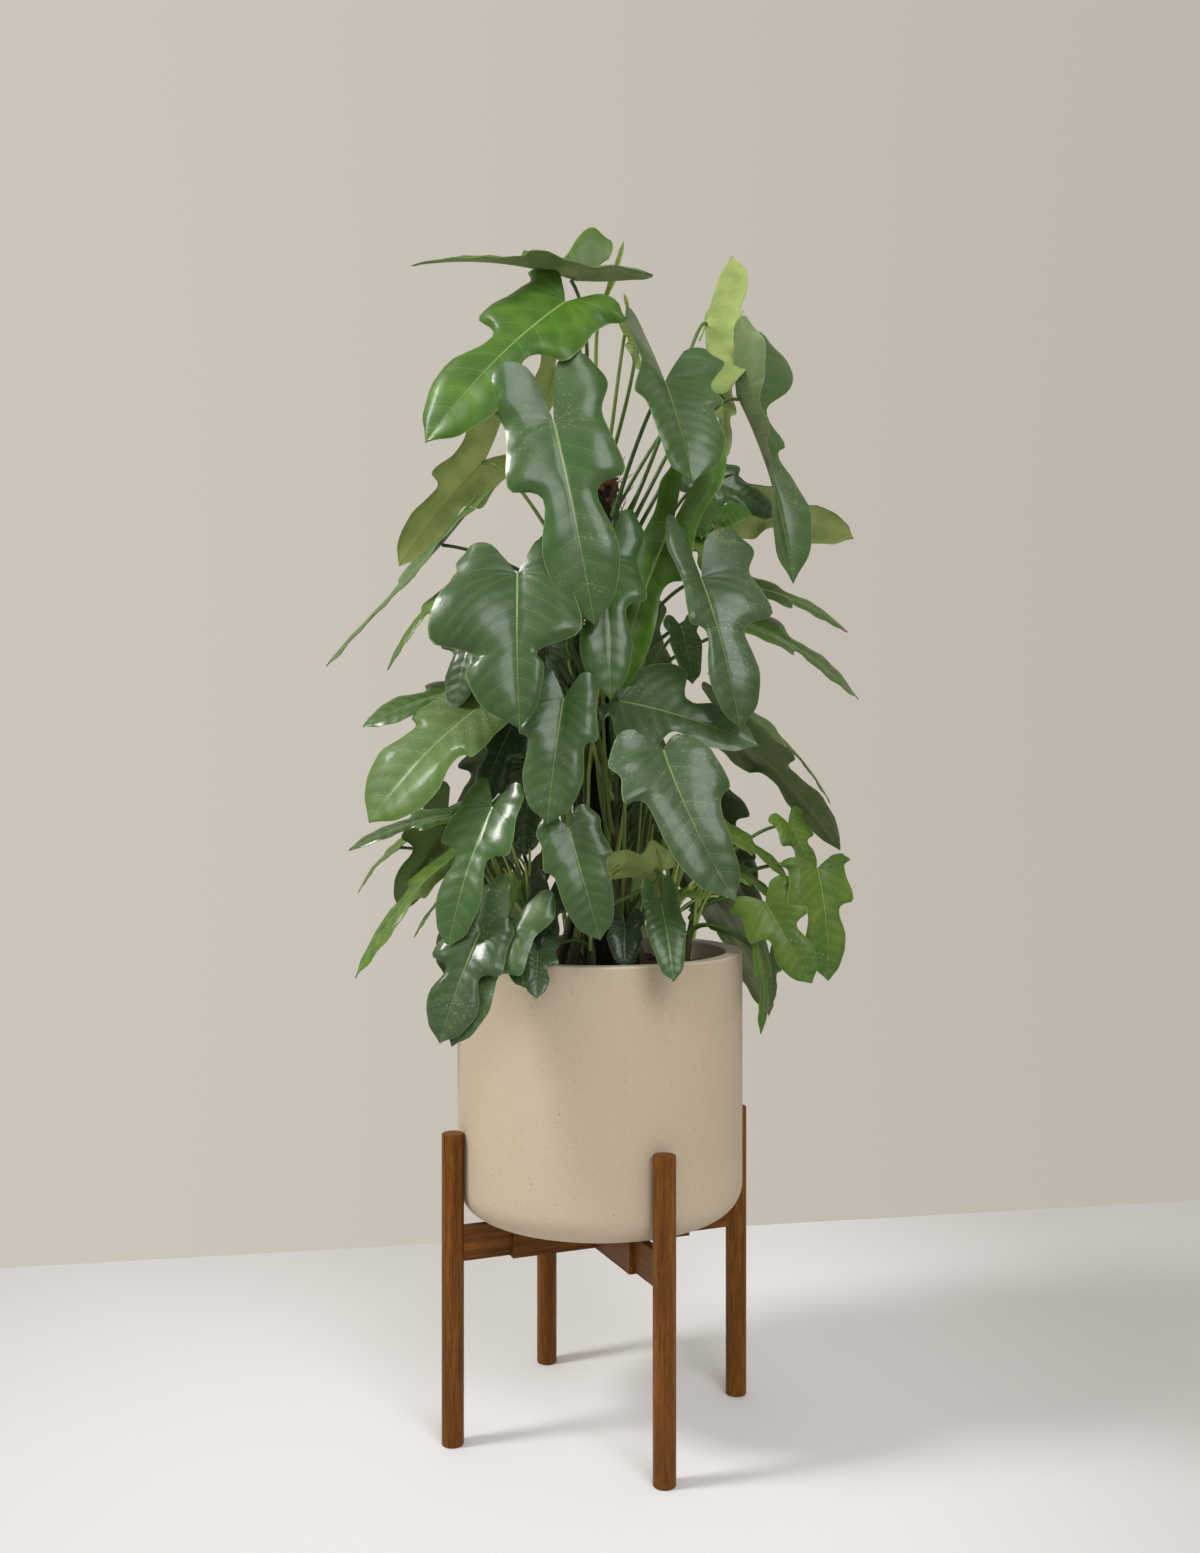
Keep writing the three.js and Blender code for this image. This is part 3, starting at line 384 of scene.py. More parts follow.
class Tree:
    """A node tree that is written by expressions."""

    def __init__(self, tree):
        self.tree = tree
        tree.nodes.clear()

    @staticmethod
    def pick(sockets, key):
        if isinstance(key, int):
            return sockets[key]
        named = [s for s in sockets if s.name == key]
        return next((s for s in named if s.enabled), named[0])

    def add(self, kind, settings=None, sockets=None, out=0):
        """A new node: its settings are set first, then its sockets get their values or links."""
        made = self.tree.nodes.new(kind)
        for name, value in (settings or {}).items():
            if name == "stops":
                self.set_stops(made.color_ramp.elements, value)
            else:
                setattr(made, name, value)
        for key, value in (sockets or {}).items():
            socket = self.pick(made.inputs, key)
            if isinstance(value, Wire):
                self.tree.links.new(value.socket, socket)
            else:
                socket.default_value = value
        return Wire(self, self.pick(made.outputs, out)) if made.outputs else None

    @staticmethod
    def set_stops(elements, stops):
        while len(elements) < len(stops):
            elements.new(0.5)
        for element, (place, color) in zip(elements, stops):
            element.position = place
            element.color = (*color, 1)

    def attribute(self, name, out="Fac"):
        return self.add("ShaderNodeAttribute", {"attribute_name": name}, out=out)

    def place(self):
        return self.add("ShaderNodeTexCoord", out="Object")

    def parts(self, vector):
        """The three numbers of a vector."""
        split = self.add("ShaderNodeSeparateXYZ", None, {0: vector})
        return [split.sibling(axis) for axis in "XYZ"]

    def join(self, x, y, z):
        return self.add("ShaderNodeCombineXYZ", None, {0: x, 1: y, 2: z})

    def mix(self, factor, a, b, blend="MIX"):
        """Two colours, each a wire or three numbers, mixed by a factor."""
        a, b = (v if isinstance(v, Wire) else (*v, 1) for v in (a, b))
        settings = {"data_type": "RGBA", "blend_type": blend}
        return self.add("ShaderNodeMix", settings, {"Factor": factor, "A": a, "B": b}, out=2)

    def shade(self, factor, color, dark):
        return self.mix(factor, color, dark, "MULTIPLY")

    def step(self, value, low, high, to_low=0.0, to_high=1.0):
        """A smooth step of a value from one bound to the other."""
        sockets = {"Value": value, "From Min": low, "From Max": high, "To Min": to_low, "To Max": to_high}
        return self.add("ShaderNodeMapRange", {"interpolation_type": "SMOOTHSTEP"}, sockets)

    def ramp(self, value, stops):
        """A value as a colour, from stops of (value, colour)."""
        return self.add("ShaderNodeValToRGB", {"stops": stops}, {0: value})

    def noise(self, vector, scale, detail=3.0, roughness=0.55):
        sockets = {"Vector": vector, "Scale": scale, "Detail": detail, "Roughness": roughness}
        return self.add("ShaderNodeTexNoise", None, sockets)

    def cells(self, vector, scale, out="Distance"):
        return self.add("ShaderNodeTexVoronoi", None, {"Vector": vector, "Scale": scale}, out=out)

    def distance_to_whole(self, value):
        """How far a number is from the nearest whole one."""
        return abs(self.add("ShaderNodeMath", {"operation": "FRACT"}, {0: value + 0.5}) - 0.5)

    def stretched(self, vector, scale, turn=0.0):
        """Coordinates turned round Z by an angle in degrees and then stretched."""
        sockets = {"Vector": vector, "Rotation": (0, 0, math.radians(turn))}
        turned = self.add("ShaderNodeMapping", None, sockets)
        return self.add("ShaderNodeMapping", None, {"Vector": turned, "Scale": scale})

    def random(self, low, high, seed):
        """A number for each point, or a vector where the bounds are no plain numbers."""
        if isinstance(low, float):
            sockets, kind, out = {2: low, 3: high, "Seed": seed}, "FLOAT", 1
        else:
            sockets, kind, out = {0: low, 1: high, "Seed": seed}, "FLOAT_VECTOR", 0
        return self.add("FunctionNodeRandomValue", {"data_type": kind}, sockets, out=out)

    def end(self, color, roughness, height, distance, strength, **plain):
        """Ends a material: a colour, a roughness, a height that bends the normal, and other sockets."""
        relief = {"Strength": strength, "Distance": distance, "Height": height}
        sockets = {"Base Color": color, "Roughness": roughness, **plain}
        sockets["Normal"] = self.add("ShaderNodeBump", None, relief)
        shader = self.add("ShaderNodeBsdfPrincipled", None, sockets)
        self.add("ShaderNodeOutputMaterial", None, {"Surface": shader})


def tint(*bytes_):
    """A colour as the renderer counts it, from its usual 0 to 255 numbers."""
    return tuple(((v / 255 + 0.055) / 1.055) ** 2.4 if v > 10 else v / 255 / 12.92 for v in bytes_)


def new_material(name):
    material = bpy.data.materials.new(name)
    material.use_nodes = True
    return material, Tree(material.node_tree)


def blade_material(settings):
    """Leaf skin: midrib, side veins that fan out at the petiole, mottling, painted sheen and shade, and a
    lower side paler by its own colour and by painted light.
    """
    material, t = new_material("leaf_blade")
    x, y, share = t.parts(t.attribute("place", "Vector"))
    tone, under, chance = t.attribute("tone"), t.attribute("under"), t.attribute("chance")
    where = t.place()
    ax = abs(x)
    # The side veins start on the midrib and bend towards the tip; behind the petiole they fan out.
    reach = t.add("ShaderNodeVectorMath", {"operation": "LENGTH"}, {0: t.join(x, y, 0.0)}, out="Value")
    ahead = y - ax * 0.42 - ax * ax
    behind = ahead * 0.3 / (reach + 0.004)
    front = t.step(ahead, -0.0005, 0.0005)
    course = ahead * front + behind * (1 - front)
    drift = (t.noise(where, 9.0, 1.0) - 0.5) * 0.03
    phase = (course + drift) / settings.vein_spacing
    away = t.distance_to_whole(phase)
    broad = t.noise(where, 17.0, 2.0)
    vein = (1 - t.step(away, 0.0, 0.05)) * t.step(broad, 0.3, 0.6, 0.35, 1.0)
    fine = 1 - t.step(t.distance_to_whole(phase * 5.0), 0.0, 0.3)
    rib_width = 0.0028 + 0.0042 * (1 - t.step(y, 0.0, 0.8))
    rib = (1 - t.step(ax, rib_width * 0.55, rib_width * 1.2)) * t.step(y, -0.03, 0.0)
    edge_fade = 1 - t.step(share, 0.5, 1.0, 0.0, 0.8)
    edge = t.step(share, 0.965, 0.995)
    mottle = t.noise(where, 34.0, 4.0, 0.6)
    grain = t.noise(where, 480.0, 2.0)
    # Painted sheen: pale highlight streaks that run with the side veins.
    streak = t.noise(t.join(phase * 0.85, reach * 6.0, chance * 30.0), 1.0, 3.0, 0.6)
    sheen = t.step(streak, 0.5, 0.78) * t.step(broad, 0.35, 0.7)
    greens = (settings.deep, settings.green, settings.fresh, settings.bright, settings.lime)
    age = tone + (mottle - 0.5) * 0.14 + (broad - 0.5) * 0.1
    upper = t.ramp(age, list(zip((0.0, 0.3, 0.55, 0.75, 1.0), greens)))
    sheen_weight = t.step(tone, 0.3, 0.6, 1.0, 0.25)
    # The lower side is partly its own paler colour and partly painted light shining through the leaf; young
    # leaves get the most.
    pale = t.mix(t.step(tone, 0.4, 0.7), settings.under, settings.under_young_painted_glow)
    lower = t.mix(t.step(tone, 0.6, 0.85, 0.66, 0.85), upper, pale)
    # Painted sheen: broad pale grey patches of highlight, strongest on the deep green leaves.
    painted_sheen_patches = sheen * 0.16 + t.step(broad, 0.42, 0.62) * t.step(chance, 0.2, 0.8, 0.1, 1.0) * 0.14
    skin = t.mix(painted_sheen_patches * sheen_weight, upper, settings.sheen)
    # Painted shade: the skin is darkened away from the side veins, standing in for shade on the swollen skin
    # between them; it fades towards the margin.
    between = t.step(away, 0.0, 0.45, 0.0, 0.34) * edge_fade
    skin = t.shade(between, skin, (0.55, 0.6, 0.5))
    skin = t.mix(under, skin, lower)
    skin = t.shade(t.step(mottle, 0.35, 0.7, 0.0, 0.6), skin, (0.62, 0.74, 0.64))
    skin = t.shade(t.step(broad, 0.35, 0.65, 0.0, 0.5), skin, (0.58, 0.66, 0.66))
    skin = t.shade(t.step(grain, 0.35, 0.75, 0.0, 0.2), skin, (0.5, 0.58, 0.46))
    dust = 1 - t.step(t.cells(where, 220.0), 0.1, 0.28)
    dust = dust * t.step(broad, 0.45, 0.65) * t.step(chance, 0.3, 0.6)
    skin = t.mix(dust * (1 - under) * 0.42, skin, settings.sheen)
    skin = t.mix(fine * 0.04 * edge_fade, skin, settings.vein)
    skin = t.mix(vein * edge_fade * (0.14 + under * 0.2), skin, settings.vein)
    skin = t.mix(rib * t.step(y, 0.2, 0.95, 0.66, 0.34), skin, settings.vein)
    skin = t.mix(edge * 0.4, skin, settings.vein)
    # The skin swells between the side veins and sinks along the midrib; below it is the other way round.
    pillow = t.step(away, 0.0, 0.5) - 1
    wavy = t.noise(where, 26.0, 1.0) * 4.0 + t.noise(where, 60.0, 1.0) * 1.2
    height = (pillow * 0.65 + streak * 0.7 + wavy) * (0.8 - under * 1.6)
    height = height - rib * (0.5 - under * 1.3) + grain * 0.06
    dull = t.step(tone, 0.36, 0.44)
    roughness = settings.roughness + dull * 0.12 + (mottle - 0.5) * 0.2 - sheen * 0.1
    roughness = roughness + under * 0.22 + chance * 0.06
    coat = {"Coat Weight": 0.3 - dull * 0.2, "Coat Roughness": 0.15, "Specular IOR Level": 0.28}
    t.end(skin, roughness, height, distance=0.0011, strength=0.6, **coat)
    return material


def stalk_material(settings):
    """Petioles and stems: green with fine streaks and pale flecks; old stems and roots turn brown."""
    material, t = new_material("leaf_stalk")
    tone, age = t.attribute("tone"), t.attribute("age")
    where = t.place()
    streak = t.noise(t.stretched(where, (260.0, 260.0, 18.0)), 1.0, 4.0)
    fleck = t.noise(where, 900.0, 1.0)
    mottle = t.noise(where, 60.0, 3.0)
    greens = [(0.0, settings.deep), (0.5, settings.green), (1.0, settings.lime)]
    green = t.ramp(tone + (mottle - 0.5) * 0.2, greens)
    wooden = t.ramp(streak, [(0.25, settings.root_dark), (0.75, settings.root_light)])
    color = t.shade(t.step(streak, 0.3, 0.75, 0.0, 0.35), green, (0.5, 0.6, 0.4))
    color = t.mix(t.step(fleck, 0.66, 0.74, 0.0, 0.4), color, settings.lime)
    color = t.mix(t.step(age + (mottle - 0.5) * 0.5, 0.3, 0.7), color, wooden)
    t.end(color, 0.42 + age * 0.35, streak + age * mottle, distance=0.0006, strength=0.5)
    return material


def pot_material(settings):
    """Matte stoneware: faint clouds, fine speckles, tiny dark pits, and a smoother rim top painted paler,
    partly for its paler glaze and partly as painted light from above.
    """
    material, t = new_material("stoneware")
    where = t.place()
    cloud = t.noise(where, 7.0, 3.0)
    sand = t.noise(where, 650.0, 2.0, 0.7)
    grit = t.noise(where, 1700.0, 1.0)
    chance = t.parts(t.cells(where, 75.0, "Color"))[0]
    pit = (1 - t.step(t.cells(where, 75.0), 0.03, 0.075)) * t.step(chance, 0.8, 0.82)
    small_chance = t.parts(t.cells(where, 260.0, "Color"))[1]
    freckle = (1 - t.step(t.cells(where, 260.0), 0.1, 0.3)) * t.step(small_chance, 0.7, 0.75)
    # Painted light: the top of the rim is painted paler, partly for its paler glaze and partly for the light
    # from above that falls on it.
    lit_glazed_lip = t.step(t.parts(where)[2], POT_HIGH.z - 0.0022, POT_HIGH.z - 0.0008)
    color = t.mix(t.step(cloud, 0.35, 0.7, 0.0, 0.35), settings.clay, settings.clay_cloud)
    color = t.mix(t.step(sand, 0.35, 0.7, 0.0, 0.4), color, settings.clay_sand)
    color = t.mix(freckle * 0.32, color, settings.clay_dark)
    color = t.mix(pit * 0.85, color, settings.clay_dark)
    color = t.mix(lit_glazed_lip * 0.55, color, settings.lit_glazed_lip)
    height = sand * 0.25 + grit * 0.15 - pit * 1.5 - freckle * 0.1
    t.end(color, 0.78 - lit_glazed_lip * 0.15, height, distance=0.0005, strength=0.45)
    return material


def wood_material(name, settings, scale, turn):
    """Oiled brown wood whose grain runs along the third or the turned first axis."""
    material, t = new_material(name)
    where = t.stretched(t.place(), scale, turn)
    fibre = t.noise(where, 14.0, 5.0, 0.65)
    broad = t.noise(where, 2.2, 2.0)
    pore = t.noise(where, 46.0, 2.0)
    browns = [(0.34, settings.wood_dark), (0.5, settings.wood), (0.66, settings.wood_light)]
    color = t.ramp(fibre * 0.6 + broad * 0.4, browns)
    color = t.mix(t.step(pore, 0.6, 0.72, 0.0, 0.4), color, settings.wood_pore)
    height = fibre * 0.5 - t.step(pore, 0.6, 0.72) * 0.5
    shine = {"Specular IOR Level": 0.15}
    t.end(color, 0.38 + fibre * 0.14, height, distance=0.0003, strength=0.4, **shine)
    return material


def soil_material(settings):
    """Dark potting soil with a few pale grains."""
    material, t = new_material("potting_soil")
    where = t.place()
    crumb = t.noise(where, 240.0, 4.0, 0.7)
    lump = t.noise(where, 60.0, 3.0)
    color = t.ramp(crumb * 0.6 + lump * 0.4, [(0.3, settings.soil_dark), (0.7, settings.soil_light)])
    perlite = t.noise(where, 330.0, 1.0)
    color = t.mix(t.step(perlite, 0.76, 0.8, 0.0, 0.5), color, (0.4, 0.36, 0.3))
    t.end(color, 0.9 - lump * 0.15, crumb + lump * 0.5, distance=0.003, strength=0.8)
    return material


def bark_material(name, dark, light):
    """Bark flakes and coir, whose colour also changes from piece to piece."""
    material, t = new_material(name)
    chance = t.attribute("chance")
    grain = t.noise(t.stretched(t.place(), (300.0, 300.0, 60.0)), 1.0, 4.0, 0.65)
    color = t.ramp(grain * 0.65 + chance * 0.35, [(0.25, dark), (0.75, light)])
    t.end(color, 0.85 - chance * 0.1, grain, distance=0.0015, strength=0.8)
    return material


def floor_material(color):
    """Pale matte paint with faint clouds, and painted shade that darkens it towards the right."""
    material, t = new_material("floor_paint")
    where = t.place()
    cloud = t.noise(where, 0.8, 2.0)
    paint = t.mix(t.step(cloud, 0.3, 0.7), color, tuple(v * 0.98 for v in color))
    # Painted shade: the floor is darkened towards the right.
    paint = t.shade(t.step(t.parts(where)[0], 0.15, 0.75, 0.0, 0.65), paint, (0.68, 0.66, 0.64))
    fine = t.noise(where, 300.0, 2.0)
    t.end(paint, 0.85, fine, distance=0.0004, strength=0.15, **{"Specular IOR Level": 0.2})
    return material


def mesh_object(mesh):
    made = bpy.data.objects.new(mesh.name, mesh)
    bpy.context.scene.collection.objects.link(made)
    return made


def new_mesh(name, points, faces, material=None, edges=(), smooth=True):
    mesh = bpy.data.meshes.new(name)
    mesh.from_pydata(points, edges, faces, shade_flat=not smooth)
    if material:
        mesh.materials.append(material)
    return mesh


def settle(made, slot, *nodes):
    """Ties a finished piece to the frame."""
    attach(made, BODY)
    if nodes:
        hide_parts(*nodes)


def store(mesh, name, kind, values):
    attribute = mesh.attributes.new(name, kind, "POINT")
    attribute.data.foreach_set("vector" if kind == "FLOAT_VECTOR" else "value", np.asarray(values).ravel())


def geometry_tree(name, inputs):
    """A geometry tree with named inputs, and the wires of its inputs."""
    group = bpy.data.node_groups.new(name, "GeometryNodeTree")
    group.is_modifier = True
    group.interface.new_socket("Geometry", in_out="INPUT", socket_type="NodeSocketGeometry")
    group.interface.new_socket("Geometry", in_out="OUTPUT", socket_type="NodeSocketGeometry")
    for label, (kind, default) in inputs.items():
        socket = group.interface.new_socket(label, in_out="INPUT", socket_type="NodeSocket" + kind)
        if default is not None:
            socket.default_value = default
    t = Tree(group)
    start = t.add("NodeGroupInput")
    return t, {label: start.sibling(label) for label in ("Geometry", *inputs)}


def run_tree(made, tree, values, name):
    """Runs a geometry tree on an object and returns the plain result under a new name; the object goes."""
    names = {s.name: s.identifier for s in tree.interface.items_tree if s.in_out == "INPUT"}
    modifier = made.modifiers.new(tree.name, "NODES")
    modifier.node_group = tree
    for label, value in values.items():
        modifier[names[label]] = value
    graph = bpy.context.evaluated_depsgraph_get()
    graph.update()
    shape = made.evaluated_get(graph)
    mesh = bpy.data.meshes.new_from_object(shape, preserve_all_data_layers=True, depsgraph=graph)
    mesh.name = name
    bpy.data.objects.remove(made)
    return mesh_object(mesh)


def lathe(profile, segments):
    """Vertices and faces of a closed turned shape; a profile point on the axis becomes one vertex."""
    rings, points, faces = [], [], []
    for radius, height in profile:
        if radius < 1e-9:
            rings.append([len(points)] * segments)
            points.append((0.0, 0.0, height))
            continue
        rings.append(list(range(len(points), len(points) + segments)))
        for i in range(segments):
            angle = 2 * math.pi * i / segments
            points.append((radius * math.cos(angle), radius * math.sin(angle), height))
    for low, high in zip(rings, rings[1:]):
        for i in range(segments):
            j = (i + 1) % segments
            face = list(dict.fromkeys((low[i], low[j], high[j], high[i])))
            if len(face) > 2:
                faces.append(face)
    return points, faces


def arc(radius, x, z, start, end, steps):
    """Points of a round corner of a profile, from one angle to the other."""
    turns = [math.radians(start + (end - start) * i / steps) for i in range(steps + 1)]
    return [(x + radius * math.cos(a), z + radius * math.sin(a)) for a in turns]


def direction(azimuth, elevation=0.0):
    a, e = math.radians(azimuth), math.radians(elevation)
    return np.array([math.sin(a) * math.cos(e), -math.cos(a) * math.cos(e), math.sin(e)])


class Draw:
    """The solids' repeatable draw between two bounds."""

    FACTOR, MODULUS = 16807, 2147483647

    def __init__(self, seed):
        self.seed = seed

    def __call__(self, low, high):
        self.seed = self.seed * self.FACTOR % self.MODULUS
        return low + (high - low) * self.seed / self.MODULUS


def tier_leaves(draw, azimuth, spread, low, step, count):
    """Leaves of the back, one tier above the other, to both sides of an azimuth in turn."""
    leaves = []
    for i in range(count):
        height = low + i * step + draw(-8, 8)
        share = min(max((height - TIER_LOW) / (TIER_HIGH - TIER_LOW), 0), 1)
        side = azimuth + (spread if i % 2 else -spread) + draw(-4, 4)
        out = direction(side)
        near = TIER_NEAR + (TIER_NEAR_TOP - TIER_NEAR) * share
        reach = near + draw(*TIER_REACH)
        base = out * near + np.array([0, 0, height])
        tip = out * reach + np.array([0, 0, height - draw(*TIER_DROP)])
        start = min(max(height - TIER_PETIOLE, TIER_START_LOW), TIER_START_HIGH)
        wide = draw(*TIER_WIDE)
        leaves.append(leaf(start, base, tip, (side, TIER_FACE), wide=wide, tone=0.2 + 0.4 * share))
    return leaves


def pair(value, side):
    """One side's share of a value that may be a (left, right) pair."""
    return value[0 if side < 0 else 1] if isinstance(value, tuple) else value


def bump(value, width):
    """A smooth bump of height 1 round zero."""
    return np.exp(-((value / width) ** 2))


def spline(points, steps):
    """A smooth line through points, with a number of steps from each to the next."""
    given = np.array(points, float)
    padded = np.vstack([2 * given[0] - given[1], given, 2 * given[-1] - given[-2]])
    line = []
    for i in range(len(given) - 1):
        a, b, c, d = padded[i : i + 4]
        square, cube = 2 * a - 5 * b + 4 * c - d, 3 * b - a - 3 * c + d
        for t in (k / steps for k in range(steps)):
            line.append(0.5 * (2 * b + (c - a) * t + square * t**2 + cube * t**3))
    line.append(given[-1])
    return np.array(line)


def outline(row, shape, side):
    """The stations of a leaf's outline or spine, with the scales of that leaf."""
    stations = []
    for number, ((along, aside), stretch) in enumerate(zip(shape, STRETCH)):
        reach = pair(row["shoulder"], side) if stretch in ("waist", "side") else 1
        reach = pair(row["lobe"], side) if along < 0 else reach
        crown = pair(row["crown"], side) if number > PETIOLE_STATION else 1
        stations.append((along * reach, aside * pair(row["wide"], side) * pair(row[stretch], side) * crown))
    return stations


class Blade:
    """The surface of a leaf: its frame and its points."""

    def __init__(self, row):
        self.row = row
        self.base = np.array(row["base"], float)
        along = np.array(row["tip"], float) - self.base
        self.length = np.linalg.norm(along)
        self.along = along / self.length
        up = direction(*row["face"])
        up = up - self.along * self.along.dot(up)
        self.up = up / np.linalg.norm(up)
        self.right = np.cross(self.up, self.along)

    def points(self, side, along, aside, share):
        """Points at shares of the length; share is how far a point is from the spine towards the margin."""
        row = self.row
        along, aside, share = (np.asarray(v, float)[..., None] for v in (along, aside, share))
        forward = np.maximum(along, 0)
        turn = np.radians(row["twist"]) * forward
        arch = np.where(along > 0, 4 * along * (1 - along), 2 * along)
        across = self.right * np.cos(turn) + np.cross(self.along, self.right) * np.sin(turn)
        lift = self.up * np.cos(turn) + np.cross(self.along, self.up) * np.sin(turn)
        rise = np.radians(pair(row["fold"], side)) * (1 - 0.75 * forward)
        phase = (self.base[0] + self.base[2]) / 40 + side
        wave = WAVE * np.sin(9 * along + phase) * (aside / 0.25)
        ripple = RIPPLE * np.sin(34 * along + 2.1 * phase) * share**3
        swell = 0.2 * aside * (1 - share)
        curl = (CURL + CURL_CHANGE * np.sin(3.3 * phase)) * share**6 * np.clip(aside / 0.2, 0, 1.5)
        height = aside * np.sin(rise) + wave + ripple + swell - curl
        bent = self.up * row["bow"] + self.right * row["sweep"]
        spot = self.along * along + bent * arch + across * (side * aside * np.cos(rise)) + lift * height
        return self.base + spot * self.length


def blade_sheet(blade, steps, columns):
    """The middle surface of a blade: points, where each lies on it, and faces that look to the upper side."""
    row = blade.row
    points, places, quads = [], [], []
    shares = np.linspace(0, 1, columns + 1)
    width = columns + 1
    for side in (-1, 1):
        margin = spline(outline(row, MARGIN, side), steps)
        stations = outline(row, SPINE, side)
        straight = spline(stations[: PETIOLE_STATION + 1], steps)
        inner = spline(stations[PETIOLE_STATION:], steps) * (1, row["cleft"])
        spine = np.vstack([straight[:-1], inner])
        spine[: PETIOLE_STATION * steps + 1, 1] = 0
        progress = np.arange(len(margin)) / steps
        # The side lobes end in a small point that looks forwards.
        spur = SPUR * bump(progress - SIDE_STATION + 0.15, 0.3)
        margin = margin + np.stack([spur, spur * 0.6], -1)
        lobe_end = np.clip(progress - (len(MARGIN) - 2), 0, 1) ** 2
        bulge = (4 * shares * (1 - shares)) ** 0.6
        rounding = LOBE_ROUNDING * pair(row["lobe"], side) * lobe_end[:, None] * bulge[None, :]
        along = spine[:, :1] * (1 - shares) + margin[:, :1] * shares - rounding
        aside = spine[:, 1:] * (1 - shares) + margin[:, 1:] * shares
        share = np.broadcast_to(shares, along.shape)
        start = len(points)
        points.extend(blade.points(side, along, aside, share).reshape(-1, 3))
        places.extend(np.stack([side * aside, along, share], -1).reshape(-1, 3))
        for i in range(len(margin) - 1):
            for a in range(start + i * width, start + i * width + columns):
                quads.append((a, a + 1, a + 1 + width, a + width)[::side])
    points, places = np.array(points), np.array(places)
    # Both halves share the points of the midrib.
    _, first, index = np.unique(np.round(points, 4), axis=0, return_index=True, return_inverse=True)
    index = index.ravel()
    faces = [list(dict.fromkeys(int(index[v]) for v in quad)) for quad in quads]
    return points[first], places[first], [face for face in faces if len(face) > 2]


def normals_of(points, faces):
    total = np.zeros_like(points)
    for face in faces:
        a, b, c = points[face[0]], points[face[1]], points[face[-1]]
        total[face] += np.cross(b - a, c - a)
    return total / np.maximum(np.linalg.norm(total, axis=1, keepdims=True), 1e-12)


class Foliage:
    """Collects the blades and the stalk lines of one leafy stem, in millimetres."""

    def __init__(self):
        self.points, self.faces, self.edges, self.rims = [], [], [], []
        self.values = {"place": [], "tone": [], "under": [], "chance": [], "age": [], "girth": [], "rail": []}

    def extend(self, points, **values):
        start = len(self.points)
        self.points.extend(np.asarray(points))
        for name, held in self.values.items():
            given = values.get(name, 0.0)
            held.extend([given] * len(points) if np.ndim(given) == 0 else given)
        return start

    def add_blade(self, row, settings, chance):
        blade = Blade(row)
        points, places, faces = blade_sheet(blade, settings.steps, settings.columns)
        half = normals_of(points, faces) * (settings.thickness / MM / 2)
        shared = {"place": places.tolist(), "tone": row["tone"], "chance": chance}
        top = self.extend(points + half, under=0.0, **shared)
        low = self.extend(points - half, under=1.0, **shared)
        used = {}
        for face in faces:
            self.faces.append([v + top for v in face])
            self.faces.append([v + low for v in reversed(face)])
            used.update(dict.fromkeys(zip(face, face[1:] + face[:1])))
        for a, b in used:
            if (b, a) not in used:
                self.faces.append([a + top, a + low, b + low, b + top])
                self.rims.extend([(a + top, b + top), (a + low, b + low)])
        return blade

    def add_rail(self, points, girth, tone, age, chance=0.5):
        """A line that becomes a round stalk."""
        blank = [(0.0, 0.0, 0.0)] * len(points)
        start = self.extend(points, place=blank, tone=tone, age=age, girth=girth, rail=True, chance=chance)
        self.edges.extend((start + i, start + i + 1) for i in range(len(points) - 1))

    def mesh(self, name):
        points = np.array(self.points) * MM
        mesh = new_mesh(name, points.tolist(), self.faces, edges=self.edges)
        ends = np.zeros(len(mesh.edges) * 2, np.int64)
        mesh.edges.foreach_get("vertices", ends)
        ends = np.sort(ends.reshape(-1, 2), axis=1)
        rims = np.sort(np.array(self.rims), axis=1)
        base = len(points)
        sharp = np.isin(ends[:, 0] * base + ends[:, 1], rims[:, 0] * base + rims[:, 1])
        mesh.attributes.new("sharp_edge", "BOOLEAN", "EDGE").data.foreach_set("value", sharp)
        kinds = {"place": "FLOAT_VECTOR", "rail": "BOOLEAN"}
        for key, held in self.values.items():
            values = np.array(held, float) * (MM if key == "girth" else 1)
            store(mesh, key, kinds.get(key, "FLOAT"), values.astype(bool if key == "rail" else np.float32))
        return mesh


def bezier(a, b, c, d, steps):
    t = np.linspace(0, 1, steps + 1)[:, None]
    return (1 - t) ** 3 * a + 3 * (1 - t) ** 2 * t * b + 3 * (1 - t) * t**2 * c + t**3 * d


def petiole_line(root, blade):
    """A leaf stalk that rises outwards and comes to the blade from below and behind."""
    way = blade.base - root
    reach = np.linalg.norm(way) * PETIOLE_REACH
    outward = np.array([way[0], way[1], 0.0])
    outward /= max(np.linalg.norm(outward), 1e-9)
    rise = outward * 0.5 + np.array([0, 0, 0.85])
    arrival = blade.along * -0.4 - blade.up * 0.6
    end = blade.points(1, PETIOLE_GRIP / blade.length, 0.0, 0.0) - blade.up * 0.8
    return bezier(root, root + rise * reach, blade.base + arrival * reach, end, PETIOLE_STEPS)


def climber_line(azimuth, top):
    """A climbing stem: straight in the soil, in to the pole, and up along it."""
    start = SOIL_TOP + 10
    heights = np.linspace(STEM_FOOT, top, CLIMBER_POINTS)
    share = np.clip((HUG_HEIGHT - heights) / (HUG_HEIGHT - start), 0, 1)
    radius = CLIMBER_CIRCLE + (CLIMBER_FOOT_CIRCLE - CLIMBER_CIRCLE) * share**2
    return direction(azimuth) * radius[:, None] + np.array([0, 0, 1.0]) * heights[:, None]


def shoot_line(foot, top):
    """A low shoot: straight up through the soil, then over to its top."""
    straight = [(*foot, height) for height in (STEM_FOOT, SOIL_TOP - 15, SOIL_TOP + 8)]
    return spline([*straight, top], SHOOT_STEPS)


def at_height(line, height):
    """The first point of a rising line at or above a height, or its last point."""
    return line[min(np.searchsorted(line[:, 2], height), len(line) - 1)]


